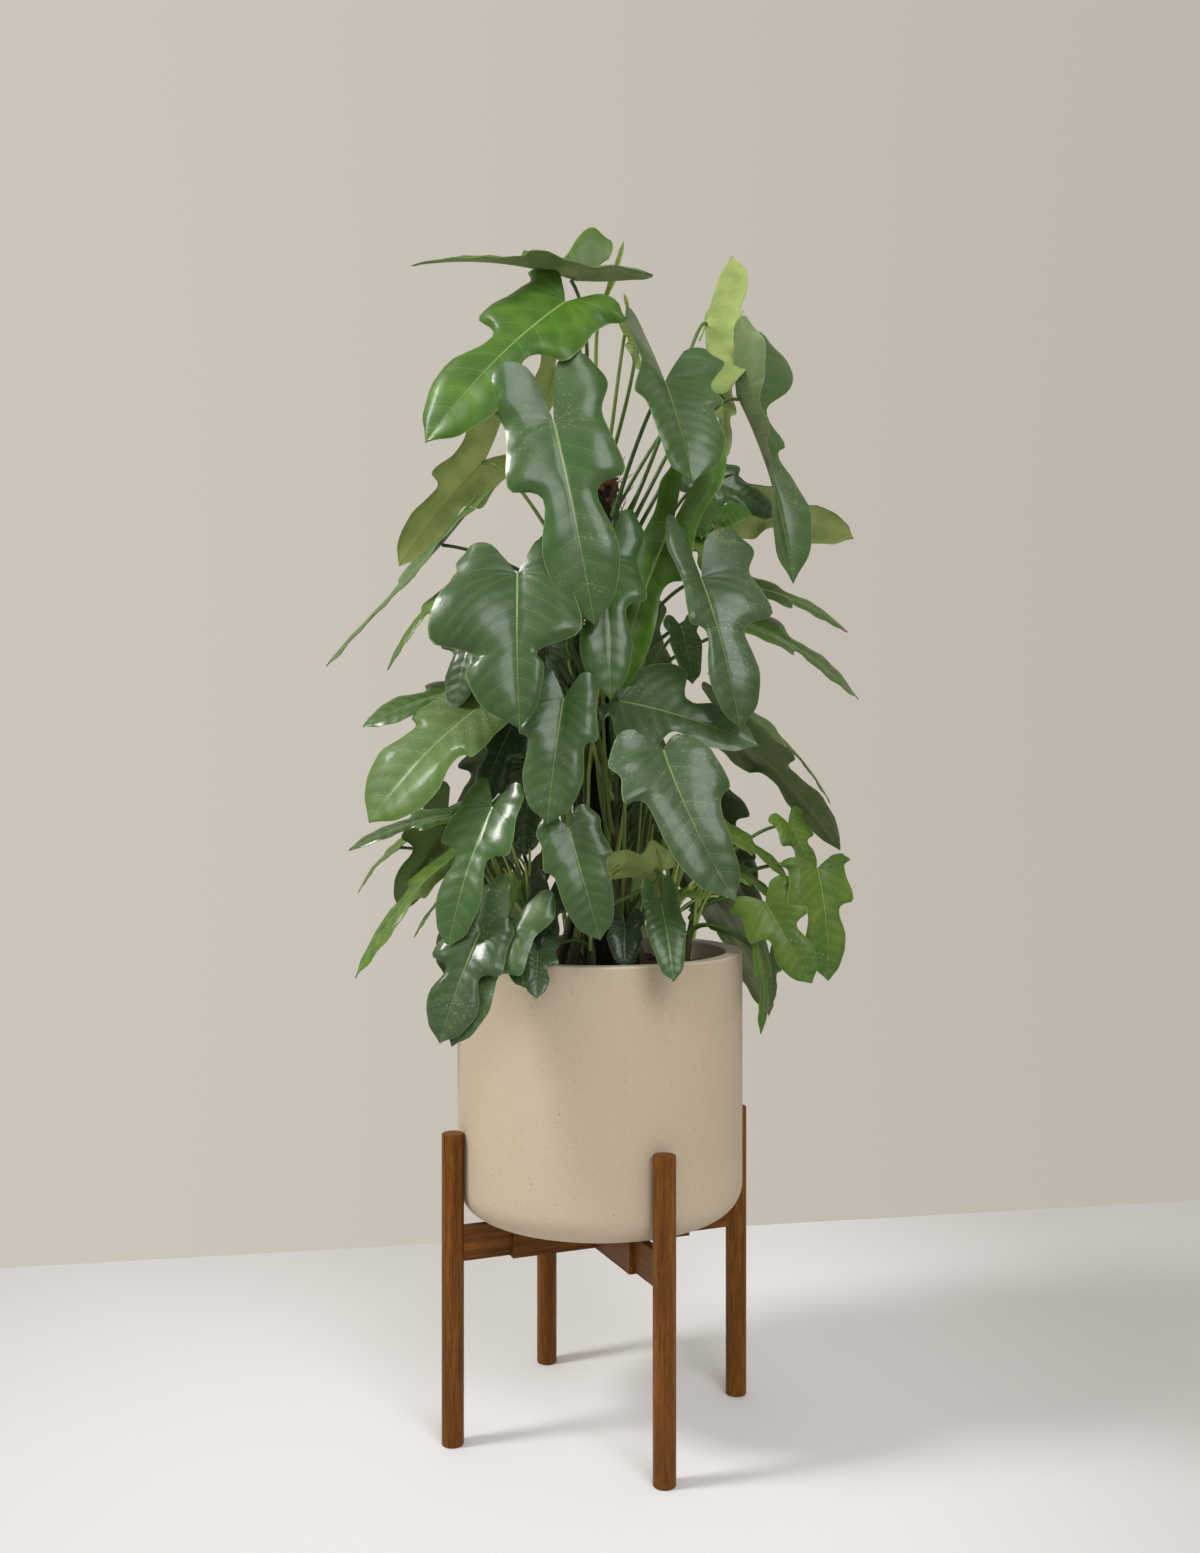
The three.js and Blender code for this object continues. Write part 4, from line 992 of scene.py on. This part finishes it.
def add_spares(foliage, line, azimuth, chances, stalks):
    """Bare stalks that rise steeply beside a climbing stem, and thin roots that hang from it."""
    top = line[-1, 2]
    # On the stems of the front the bare stalks keep to the sides of the pole.
    middle = azimuth * (-0.5 if abs(azimuth) < 90 else 1)
    along = np.linspace(0, 1, BARE_STEPS + 1)
    foot = bump(along, 0.1)
    for _ in range(stalks.bare):
        root = at_height(line, chances.uniform(BARE_FROM, top - BARE_BELOW_TOP))
        out = direction(middle + chances.uniform(-BARE_TURN, BARE_TURN))
        up = np.array([0, 0, chances.uniform(*BARE_RISE)])
        out = out * chances.uniform(*BARE_SPREAD)
        bend, rise = root + out * 0.6 + up * 0.25, root + out * 0.8 + up * 0.6
        path = bezier(root, bend, rise, root + out + up, BARE_STEPS)
        tone = chances.uniform(0.4, 1.0)
        foliage.add_rail(path, 2.5 - 0.9 * along + 1.6 * foot, tone, 0.3 * foot, chances.uniform())
    along = np.linspace(0, 1, ROOT_POINTS)
    for _ in range(stalks.roots):
        root = at_height(line, chances.uniform(ROOT_FROM, top - ROOT_BELOW_TOP))
        out = direction(azimuth + chances.uniform(-ROOT_TURN, ROOT_TURN))
        fall = chances.uniform(ROOT_FALL_LEAST, min(ROOT_FALL_MOST, root[2] - SOIL_TOP))
        sway = direction(azimuth + 90) * chances.uniform(-ROOT_SWAY, ROOT_SWAY)
        bulge = out * chances.uniform(*ROOT_BULGE)
        phase = along * chances.uniform(*ROOT_WAVES) + chances.uniform(0, 6)
        wobble = np.sin(phase)[:, None] * out * ROOT_WOBBLE
        drop = np.array([0, 0, -fall]) * (along**1.3)[:, None]
        path = root + drop + bulge * np.sin(along * 2.4)[:, None]
        path = path + sway * (along**2)[:, None] + wobble * along[:, None]
        foliage.add_rail(path, 1.0 - 0.35 * along, 0.2, chances.uniform(0.4, 0.8), chances.uniform())


def add_sprigs(foliage, top, chances, count):
    """Fine young stalks that fan out of the top of a low shoot."""
    middle = math.degrees(math.atan2(top[0], -top[1]))
    along = np.linspace(0, 1, SPRIG_STEPS + 1)
    for _ in range(count):
        outward = direction(middle + chances.uniform(-SPRIG_TURN, SPRIG_TURN))
        root = top - np.array([0, 0, chances.uniform(*SPRIG_DEPTH)])
        end = root + outward * chances.uniform(*SPRIG_SPREAD) + np.array([0, 0, chances.uniform(*SPRIG_RISE)])
        bend = root + np.array([0, 0, 35]) + outward * 6
        path = bezier(root, bend, (bend + end) / 2 + np.array([0, 0, 8]), end, SPRIG_STEPS)
        foliage.add_rail(path, 1.9 - 0.7 * along, chances.uniform(0.65, 1.0), 0.0, chances.uniform())


def grow_stem(stem, leaves, chances, blades, stalks):
    """One leafy stem: the stem, its petioles, and either bare stalks and roots or young sprigs."""
    climbs = "azimuth" in stem
    if climbs:
        line, radius = climber_line(stem["azimuth"], stem["top"]), CLIMBER_RADIUS
    else:
        line, radius = shoot_line(stem["foot"], stem["top"]), SHOOT_RADIUS
    heights = line[:, 2]
    joints = np.arange(heights[0] + JOINT_START, heights[-1], JOINT_STEP)
    swelling = sum(bump(heights - z, 4.0) for z in joints)
    taper = np.clip((heights[-1] - heights) / 50.0, 0.35, 1)
    age = np.clip(0.62 - (heights - 480) / 800.0, 0.2, 1)
    foliage = Foliage()
    foliage.add_rail(line, radius * taper + 0.7 * swelling, 0.15, age)
    along = np.linspace(0, 1, PETIOLE_STEPS + 1)
    girth = 1.75 + 0.7 * (1 - along) + 2.0 * bump(along, 0.09) + 0.35 * bump(1 - along, 0.05)
    for row in leaves:
        chance = chances.uniform()
        blade = foliage.add_blade(row, blades, chance)
        path = petiole_line(at_height(line, row["start"]), blade)
        foliage.add_rail(path, girth, 0.12 + 0.6 * row["tone"], 0.35 * bump(along, 0.05), chance)
    if climbs:
        add_spares(foliage, line, stem["azimuth"], chances, stalks)
    else:
        add_sprigs(foliage, line[-1], chances, stalks.sprigs)
    return foliage


def clad(t, geometry, finish, **selection):
    return t.add("GeometryNodeSetMaterial", None, {"Geometry": geometry, "Material": finish, **selection})


def tubes(t, lines, sides, radius):
    """Round tubes with closed ends along curves."""
    ring = t.add("GeometryNodeCurvePrimitiveCircle", None, {"Resolution": sides, "Radius": 1.0})
    sockets = {"Curve": lines, "Profile Curve": ring, "Scale": radius, "Fill Caps": True}
    return t.add("GeometryNodeCurveToMesh", None, sockets)


def real(t, geometry):
    return t.add("GeometryNodeRealizeInstances", None, {0: geometry})


def end_tree(t, geometry):
    t.add("NodeGroupOutput", None, {0: geometry})
    return t.tree


def stalk_tree():
    """Turns the stalk lines of a leafy stem into round tubes and gives blades and stalks their finish."""
    inputs = {"Sides": ("Int", 10), "Blade Finish": ("Material", None), "Stalk Finish": ("Material", None)}
    t, given = geometry_tree("Leafy stem", inputs)
    rail, girth = (
        t.add("GeometryNodeInputNamedAttribute", {"data_type": kind}, {"Name": name}, out="Attribute")
        for name, kind in (("rail", "BOOLEAN"), ("girth", "FLOAT"))
    )
    sockets = {"Geometry": given["Geometry"], "Selection": rail}
    rails = t.add("GeometryNodeSeparateGeometry", {"domain": "POINT"}, sockets, out="Selection")
    lines = t.add("GeometryNodeMeshToCurve", None, {0: rails})
    both = t.add("GeometryNodeJoinGeometry", None, {0: tubes(t, lines, given["Sides"], girth)})
    t.tree.links.new(rails.sibling("Inverted").socket, both.socket.node.inputs[0])
    leafy = clad(t, real(t, both), given["Blade Finish"])
    return end_tree(t, clad(t, leafy, given["Stalk Finish"], Selection=rail))


def scatter_tree(name, **sizes):
    """A geometry tree with the inputs that scattered pieces need and sizes of their own."""
    sizes = {label: ("Float", value) for label, value in sizes.items()}
    inputs = {"Density": ("Float", 1000.0), **sizes, "Seed": ("Int", 1), "Finish": ("Material", None)}
    return geometry_tree(name, inputs)


def scatter(t, given, piece, scale, angles):
    """Pieces on random points of a surface, turned by random angles and marked with a chance."""
    sockets = {"Mesh": given["Geometry"], "Density": given["Density"], "Seed": given["Seed"]}
    spots = t.add("GeometryNodeDistributePointsOnFaces", {"distribute_method": "RANDOM"}, sockets)
    sockets = {0: spots.sibling("Rotation"), 1: t.add("FunctionNodeEulerToRotation", None, {0: angles})}
    turned = t.add("FunctionNodeRotateRotation", {"rotation_space": "LOCAL"}, sockets)
    sockets = {"Geometry": spots, "Name": "chance", "Value": t.random(0.0, 1.0, 11)}
    settings = {"data_type": "FLOAT", "domain": "POINT"}
    marked = t.add("GeometryNodeStoreNamedAttribute", settings, sockets)
    sockets = {"Points": marked, "Instance": piece, "Rotation": turned, "Scale": scale}
    return real(t, t.add("GeometryNodeInstanceOnPoints", None, sockets))


def jolted(t, geometry, scale, amount):
    """Geometry whose points are moved by a noise."""
    sockets = {"Vector": t.add("GeometryNodeInputPosition"), "Scale": scale, "Detail": 1.0}
    noise = t.add("ShaderNodeTexNoise", None, sockets, out="Color")
    centred = t.add("ShaderNodeVectorMath", {"operation": "SUBTRACT"}, {0: noise, 1: (0.5, 0.5, 0.5)})
    push = t.add("ShaderNodeVectorMath", {"operation": "SCALE"}, {0: centred, "Scale": amount})
    return t.add("GeometryNodeSetPosition", None, {"Geometry": geometry, "Offset": push})


def chip_tree(name):
    """Scatters small irregular chips over a surface."""
    t, given = scatter_tree(name, Size=0.004, Flatness=0.4)
    size, flat = given["Size"], given["Flatness"]
    ball = t.add("GeometryNodeMeshIcoSphere", None, {"Radius": 1.0, "Subdivisions": 2})
    low = t.join(0.5 * size, 0.35 * size, 0.2 * size * flat)
    high = t.join(1.5 * size, 0.9 * size, 0.6 * size * flat)
    angles = t.random((-0.5, -0.5, -3.1), (0.5, 0.5, 3.1), 7)
    chips = scatter(t, given, ball, t.random(low, high, given["Seed"]), angles)
    sockets = {"Geometry": jolted(t, chips, 330.0, size * 0.9), "Shade Smooth": False}
    faceted = t.add("GeometryNodeSetShadeSmooth", None, sockets)
    return end_tree(t, clad(t, faceted, given["Finish"]))


def fibre_tree():
    """Bristly coir fibres that lie along a surface."""
    t, given = scatter_tree("Coir fibres", Length=0.03, Girth=0.0004)
    sockets = {"Direction": (0.0, 1.0, 0.12), "Length": given["Length"]}
    line = t.add("GeometryNodeCurvePrimitiveLine", {"mode": "DIRECTION"}, sockets)
    fine = t.add("GeometryNodeResampleCurve", None, {"Curve": line, "Count": 6})
    size = t.random(0.4, 1.4, 5)
    angles = t.random((-0.1, -0.1, -1.1), (0.3, 0.1, 1.1), 3)
    hairs = scatter(t, given, fine, t.join(size, size, size), angles)
    bent = jolted(t, hairs, 45.0, given["Length"] * 0.35)
    return end_tree(t, clad(t, real(t, tubes(t, bent, 4, given["Girth"])), given["Finish"]))


def color_property(name, description, *bytes_):
    looks = {"subtype": "COLOR", "size": 3, "min": 0, "max": 1}
    return FloatVectorProperty(name=name, description=description, default=tint(*bytes_), **looks)


def length_property(name, description, default):
    return number_property(name, description, default, unit="LENGTH", min=0, precision=4)


def number_property(name, description, default, **limits):
    return FloatProperty(name=name, description=description, default=default, **limits)


def count_property(name, description, default, least=0):
    return IntProperty(name=name, description=description, default=default, min=least)


class BladeSettings(bpy.types.PropertyGroup):
    thickness: length_property("Thickness", "Thickness of a leaf blade", 0.0008)
    steps: count_property("Steps", "Rows of faces between two outline points", 5, 1)
    columns: count_property("Columns", "Faces from the midrib to the margin", 7, 1)
    vein_spacing: number_property("Vein spacing", "Distance of the side veins, as a share of the leaf", 0.115)
    roughness: number_property("Roughness", "Roughness of the upper side", 0.36, min=0, max=1)
    deep: color_property("Deep green", "The darkest leaves", 32, 54, 33)
    green: color_property("Green", "Usual leaves", 62, 95, 46)
    fresh: color_property("Fresh green", "Lighter leaves", 96, 124, 42)
    bright: color_property("Bright green", "Leaves in full colour", 64, 106, 17)
    lime: color_property("Lime", "The youngest leaves", 150, 168, 76)
    # The lower sides' colours are partly their own and partly painted light shining through the leaves, the
    # young ones most.
    under: color_property("Lower side", "The paler lower side", 134, 150, 102)
    under_young_painted_glow: color_property("Young lower side", "The lower side of young leaves", 194, 206, 126)
    vein: color_property("Veins", "Midrib and side veins", 140, 162, 92)
    # Painted sheen: the colour of the painted highlight streaks and patches; also the colour of the real dust
    # flecks.
    sheen: color_property("Sheen", "Silky streaks and dust", 150, 166, 140)


class StalkSettings(bpy.types.PropertyGroup):
    sides: count_property("Sides", "Faces round a stalk", 10, 3)
    bare: count_property("Bare stalks", "Bare stalks on each climbing stem", 12)
    roots: count_property("Roots", "Hanging roots on each climbing stem", 6)
    sprigs: count_property("Sprigs", "Young stalks on each low shoot", 9)
    deep: color_property("Deep green", "The darkest stalks", 42, 66, 34)
    green: color_property("Green", "Usual stalks", 76, 108, 44)
    lime: color_property("Lime", "The youngest stalks", 160, 178, 92)
    root_dark: color_property("Old stem, dark", "Furrows of old stems and roots", 38, 32, 20)
    root_light: color_property("Old stem, light", "Ridges of old stems and roots", 92, 84, 52)


class PotSettings(bpy.types.PropertyGroup):
    radius: length_property("Radius", "Outer radius", POT_HIGH.x)
    wall: length_property("Wall", "Thickness of the wall", 0.018)
    floor: length_property("Floor", "Thickness of the floor", 0.020)
    corner: length_property("Corner", "Rounding of the bottom edge", 0.032)
    lip_round: length_property("Lip rounding", "Rounding of the rim's edges", 0.0025)
    segments: count_property("Segments", "Faces round the pot", 144, 16)
    clay: color_property("Clay", "Main colour", 186, 171, 149)
    clay_cloud: color_property("Clouds", "Faint clouds", 177, 161, 138)
    clay_sand: color_property("Sand", "Fine pale speckle", 200, 187, 167)
    clay_dark: color_property("Pits", "Tiny pits and freckles", 102, 82, 62)
    # Colour of the rim's top: partly its paler glaze, partly painted light from above.
    lit_glazed_lip: color_property("Lip", "The paler rim", 214, 205, 190)


class StandSettings(bpy.types.PropertyGroup):
    leg_radius: length_property("Leg radius", "Radius of a leg", 0.0115)
    chamfer: length_property("Chamfer", "Rounded edge of a leg's ends", 0.0018)
    edge: length_property("Edge", "Rounding of the beams' edges", 0.0006)
    segments: count_property("Segments", "Faces round a leg", 48, 12)
    wood_dark: color_property("Dark grain", "Dark streaks", 68, 39, 11)
    wood: color_property("Wood", "Main colour", 103, 61, 16)
    wood_light: color_property("Light grain", "Light streaks", 136, 88, 30)
    wood_pore: color_property("Pores", "Fine dark dashes", 48, 27, 9)


class SoilSettings(bpy.types.PropertyGroup):
    bump: length_property("Bumps", "Height of the crumbs", 0.004)
    chip: length_property("Chip size", "Half length of a bark chip", 0.0058)
    density: number_property("Density", "Chips on a square metre", 9000)
    seed: count_property("Seed", "Seed of the scattered chips", 5)
    soil_dark: color_property("Soil, dark", "Hollows", 22, 15, 11)
    soil_light: color_property("Soil, light", "Crumbs", 62, 44, 32)
    chip_dark: color_property("Chips, dark", "The darkest chips", 44, 26, 18)
    chip_light: color_property("Chips, light", "The lightest chips", 122, 74, 46)


class PoleSettings(bpy.types.PropertyGroup):
    fibres: number_property("Fibres", "Fibres on a square metre", 11000)
    flakes: number_property("Flakes", "Bark flakes on a square metre", 9000)
    bark: length_property("Bark height", "Height of the bark round the top of the pole", 0.06)
    fibre: length_property("Fibre length", "Length of a fibre", 0.028)
    flake: length_property("Flake size", "Half length of a bark flake", 0.008)
    coir_dark: color_property("Coir, dark", "The darkest fibres", 16, 12, 9)
    coir_light: color_property("Coir, light", "The lightest fibres", 50, 38, 26)
    bark_dark: color_property("Bark, dark", "The darkest flakes", 36, 22, 15)
    bark_light: color_property("Bark, light", "The lightest flakes", 128, 82, 54)


class StudioSettings(bpy.types.PropertyGroup):
    distance: length_property("Distance", "Camera to the pole", 1.587)
    height: length_property("Height", "Camera above the floor", 0.69)
    focal: number_property("Focal length", "In millimetres on a 36 mm sensor", 34.19)
    floor: color_property("Floor", "Colour of the floor", 226, 226, 229)
    # The backdrop's two colours paint light on the left and shade on the right.
    air_lit_left: color_property("Backdrop, left", "Colour of the air on the left", 206, 199, 188)
    air_shaded_right: color_property("Backdrop, right", "Colour of the air on the right", 189, 181, 170)
    key: number_property("Key light", "Power of the light from the left", 5.6, unit="POWER")
    fill: number_property("Front light", "Power of the broad front light", 76, unit="POWER")
    sky: number_property("Ambient", "Strength of the light from all round", 1)


class PHILODENDRON_OT_pot(bpy.types.Operator):
    """Throw the stoneware pot"""

    bl_idname = "philodendron.pot"
    bl_label = "Pot"

    def execute(self, context):
        s = context.scene.philodendron_pot
        base, rim = POT_LOW.z, POT_HIGH.z
        inner = s.radius - s.wall
        hollow = s.corner - s.wall / 2
        low = base + s.floor
        profile = [(0, base)]
        profile += arc(s.corner, s.radius - s.corner, base + s.corner, -90, 0, 12)
        profile += [(s.radius, base + (rim - base) * k / 6) for k in range(1, 5)]
        profile += arc(s.lip_round, s.radius - s.lip_round, rim - s.lip_round, 0, 90, 5)
        profile += arc(s.lip_round, inner + s.lip_round, rim - s.lip_round, 90, 180, 5)
        profile += arc(hollow, inner - hollow, low + hollow, 0, -90, 8)
        profile += [(0, low)]
        pot = new_mesh("stoneware_pot", *lathe(profile, s.segments), pot_material(s))
        settle(mesh_object(pot), "ceramic", "pot")
        return {"FINISHED"}


class PHILODENDRON_OT_stand(bpy.types.Operator):
    """Turn the four legs and finish the cross"""

    bl_idname = "philodendron.stand"
    bl_label = "Stand"

    def execute(self, context):
        s = context.scene.philodendron_stand
        upright = wood_material("wood_upright", s, (70.0, 70.0, 3.2), 0.0)
        low, high = LEG_LOW.z, LEG_HIGH.z
        profile = [(0, low)]
        profile += arc(s.chamfer, s.leg_radius - s.chamfer, low + s.chamfer, -90, 0, 4)
        profile += [(s.leg_radius, low + (high - low) * k / 4) for k in (1, 2, 3)]
        profile += arc(s.chamfer, s.leg_radius - s.chamfer, high - s.chamfer, 0, 90, 4)
        profile += [(0, high)]
        points, faces = lathe(profile, s.segments)
        for node in ("leg_1", "leg_2", "leg_3", "leg_4"):
            box_low, box_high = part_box(node)
            centre = (box_low + box_high) / 2
            placed = [(x + centre.x, y + centre.y, z) for x, y, z in points]
            settle(mesh_object(new_mesh("turned_" + node, placed, faces, upright)), "wood", node)
        # Each arm's grain is turned so that its length lies along the first axis, where it is stretched.
        for number, turn in ((1, 90 - STAND_AZIMUTH), (2, -STAND_AZIMUTH)):
            finish = wood_material(f"wood_arm_{number}", s, (3.2, 70.0, 70.0), turn)
            for node in (f"cross_sleeve_{number}", f"cross_bar_{number}", f"cross_bar_{number + 2}"):
                solid = frame["nodes"][node]
                solid.data.materials.clear()
                solid.data.materials.append(finish)
                bevel = solid.modifiers.new("Edges", "BEVEL")
                bevel.width = s.edge
                bevel.segments = 2
                bevel.limit_method = "ANGLE"
        return {"FINISHED"}


class PHILODENDRON_OT_soil(bpy.types.Operator):
    """Fill the pot with soil and scatter bark chips on it"""

    bl_idname = "philodendron.soil"
    bl_label = "Soil"

    def execute(self, context):
        s = context.scene.philodendron_soil
        radius, low, top = SOIL_HIGH.x, SOIL_LOW.z, SOIL_TOP * MM
        profile = [(0, low), (radius - SOIL_FOOT, low), (radius, low + SOIL_FOOT), (radius, top - SOIL_EDGE)]
        profile += [(radius * (1 - k / SOIL_RINGS), top) for k in range(1, SOIL_RINGS)] + [(0, top)]
        points, faces = lathe(profile, SOIL_SEGMENTS)
        chances = np.random.RandomState(s.seed)
        waves = [
            (chances.uniform(40, 330, 2) * chances.choice((-1, 1), 2), chances.uniform(0, 6.3))
            for _ in range(SOIL_WAVES)
        ]
        shaped = []
        for x, y, z in points:
            if z > top - TOUCH:
                lift = sum(math.sin(x * f[0] + y * f[1] + p) for f, p in waves) / 6
                z += s.bump * 0.5 * lift + 0.0025 * math.sin(x / 0.013) * math.cos(y / 0.011)
            shaped.append((x, y, z))
        settle(mesh_object(new_mesh("soil_bed", shaped, faces, soil_material(s))), "soil", "soil")
        # The chips are scattered over a copy of the bed's top alone.
        reach = radius - CHIP_CLEARANCE
        on_top = [z > top - TOUCH and math.hypot(x, y) < reach for x, y, z in points]
        inside = [face for face in faces if all(on_top[v] for v in face)]
        surface = mesh_object(new_mesh("soil_top", shaped, inside, smooth=False))
        finish = bark_material("bark_chip", s.chip_dark, s.chip_light)
        values = {"Density": s.density, "Size": s.chip, "Flatness": CHIP_FLATNESS, "Seed": s.seed}
        values["Finish"] = finish
        settle(run_tree(surface, chip_tree("Bark chips"), values, "soil_chips"), "soil")
        return {"FINISHED"}


class PHILODENDRON_OT_pole(bpy.types.Operator):
    """Wrap the climbing pole in coir and bark"""

    bl_idname = "philodendron.pole"
    bl_label = "Bark pole"

    def execute(self, context):
        s = context.scene.philodendron_pole
        radius, low, high = POLE_HIGH.x - POLE_SKIN, POLE_LOW.z, POLE_HIGH.z
        profile = [(0, low)] + [(radius, low + (high - low) * k / POLE_ROWS) for k in range(POLE_ROWS + 1)]
        profile += [(radius * 0.75, high + 0.001), (radius * 0.4, high - 0.002), (0, high)]
        points, faces = lathe(profile, POLE_SEGMENTS)
        chances = np.random.RandomState(POLE_SEED)
        waves = [
            (chances.uniform(80, 420, 2), chances.uniform(20, 160), chances.uniform(0, 6.3))
            for _ in range(POLE_WAVES)
        ]
        shaped = []
        for x, y, z in points:
            lump = sum(math.sin(x * f[0] + y * f[1] + z * g + p) for f, g, p in waves) / POLE_WAVES
            scale = 1 + POLE_LUMPS * lump
            shaped.append((x * scale, y * scale, z))
        coir = bark_material("coir", s.coir_dark, s.coir_light)
        pole = new_mesh("coir_pole", shaped, faces, coir)
        store(pole, "chance", "FLOAT", np.full(len(points), 0.2))
        settle(mesh_object(pole), "bark", "bark_pole")
        bark = bark_material("bark_flake", s.bark_dark, s.bark_light)
        fibres = {"Density": s.fibres, "Length": s.fibre, "Girth": FIBRE_GIRTH, "Seed": FIBRE_SEED}
        flakes = {"Density": s.flakes, "Size": s.flake, "Flatness": FLAKE_FLATNESS, "Seed": FLAKE_SEED}
        for name, tree, values, finish, above in (
            ("coir_fibres", fibre_tree(), fibres, coir, SOIL_TOP * MM + 0.002),
            ("bark_flakes", chip_tree("Bark flakes"), flakes, bark, high - s.bark),
        ):
            shown = [face for face in faces if min(points[v][2] for v in face) > above]
            surface = mesh_object(new_mesh(name + "_surface", shaped, shown, smooth=False))
            settle(run_tree(surface, tree, {**values, "Finish": finish}, name), "bark")
        return {"FINISHED"}


class PHILODENDRON_OT_plant(bpy.types.Operator):
    """Grow the climbing stems and the shoots with their leaves"""

    bl_idname = "philodendron.plant"
    bl_label = "Leafy stems"

    def execute(self, context):
        blades = context.scene.philodendron_blades
        stalks = context.scene.philodendron_stalks
        tree = stalk_tree()
        values = {
            "Sides": stalks.sides,
            "Blade Finish": blade_material(blades),
            "Stalk Finish": stalk_material(stalks),
        }
        draw = Draw(TIER_SEED)
        for number, stem in enumerate(STEMS):
            leaves = stem["leaves"] + (tier_leaves(draw, **stem["tiers"]) if "tiers" in stem else [])
            chances = np.random.RandomState(STEM_SEED + number)
            foliage = grow_stem(stem, leaves, chances, blades, stalks)
            name = "leafy_" + stem["node"]
            grown = run_tree(mesh_object(foliage.mesh(name + "_lines")), tree, values, name)
            settle(grown, "foliage", stem["node"])
        return {"FINISHED"}


class PHILODENDRON_OT_studio(bpy.types.Operator):
    """Set the floor, the backdrop, the lights and the camera"""

    bl_idname = "philodendron.studio"
    bl_label = "Studio"

    @staticmethod
    def place(context, name, data, place, turn):
        made = bpy.data.objects.new(name, data)
        context.scene.collection.objects.link(made)
        made.location = place
        made.rotation_euler = turn
        return made

    def lamp(self, context, name, place, target, size, power, color, spread=180):
        light = bpy.data.lights.new(name, "AREA")
        light.shape = "DISK"
        light.size = size
        light.spread = math.radians(spread)
        light.energy = power
        light.color = color
        way = Vector(target) - Vector(place)
        self.place(context, name, light, place, way.to_track_quat("-Z", "Y").to_euler())

    def execute(self, context):
        s = context.scene.philodendron_studio
        scene = context.scene
        # The floor's far edge runs a little askew, as in the picture; the air behind it is the backdrop.
        side = FLOOR_SIDE
        front = [(-side, -side, 0), (side, -side, 0)]
        corners = [*front, (side, FLOOR_EDGE_RIGHT, 0), (-side, FLOOR_EDGE_LEFT, 0)]
        floor = new_mesh("studio_floor", corners, [(0, 1, 2, 3)], floor_material(s.floor), smooth=False)
        mesh_object(floor)
        self.lamp(context, "key_light", KEY_PLACE, KEY_TARGET, 0.6, s.key, (1.0, 0.98, 0.95), 60)
        self.lamp(context, "front_light", FRONT_PLACE, FRONT_TARGET, 2.2, s.fill, (0.95, 0.98, 1.0))
        world = bpy.data.worlds.new("studio_air")
        scene.world = world
        world.use_nodes = True
        t = Tree(world.node_tree)
        sideways = t.parts(t.add("ShaderNodeTexCoord", out="Generated"))[0]
        # Painted light: the backdrop is painted lighter on the left and darker on the right, as the light
        # from the left falls off across it.
        air_painted_falloff = t.mix(t.step(sideways, -0.55, 0.55), s.air_lit_left, s.air_shaded_right)
        air = t.add("ShaderNodeBackground", None, {"Color": air_painted_falloff, "Strength": s.sky})
        t.add("ShaderNodeOutputWorld", None, {"Surface": air})
        camera = bpy.data.cameras.new("camera")
        camera.sensor_width = 36
        camera.lens = s.focal
        level = (math.radians(90), 0, 0)
        scene.camera = self.place(context, "camera", camera, (0, -s.distance, s.height), level)
        scene.view_settings.view_transform = "Standard"
        scene.view_settings.look = "None"
        return {"FINISHED"}


class PHILODENDRON_PT_panel(bpy.types.Panel):
    """Lists the pieces and their settings"""

    bl_idname = "PHILODENDRON_PT_panel"
    bl_label = "Potted philodendron"
    bl_space_type = "VIEW_3D"
    bl_region_type = "UI"
    bl_category = "Philodendron"

    def draw(self, context):
        for kind, group in GROUPS.items():
            box = self.layout.box()
            settings = getattr(context.scene, kind)
            for name in group.__annotations__:
                box.prop(settings, name)
        for operator in OPERATORS:
            self.layout.operator(operator.bl_idname)


GROUPS = {
    "philodendron_pot": PotSettings,
    "philodendron_stand": StandSettings,
    "philodendron_soil": SoilSettings,
    "philodendron_pole": PoleSettings,
    "philodendron_blades": BladeSettings,
    "philodendron_stalks": StalkSettings,
    "philodendron_studio": StudioSettings,
}
OPERATORS = [
    PHILODENDRON_OT_studio,
    PHILODENDRON_OT_pot,
    PHILODENDRON_OT_stand,
    PHILODENDRON_OT_soil,
    PHILODENDRON_OT_pole,
    PHILODENDRON_OT_plant,
]
CLASSES = [*GROUPS.values(), *OPERATORS, PHILODENDRON_PT_panel]


def register():
    for kind in CLASSES:
        bpy.utils.register_class(kind)
    for name, group in GROUPS.items():
        setattr(bpy.types.Scene, name, PointerProperty(type=group))


def unregister():
    for name in GROUPS:
        delattr(bpy.types.Scene, name)
    for kind in reversed(CLASSES):
        bpy.utils.unregister_class(kind)


def main():
    register()
    bpy.ops.philodendron.studio()
    bpy.ops.philodendron.pot()
    bpy.ops.philodendron.stand()
    bpy.ops.philodendron.soil()
    bpy.ops.philodendron.pole()
    bpy.ops.philodendron.plant()


if __name__ == "__main__":
    main()
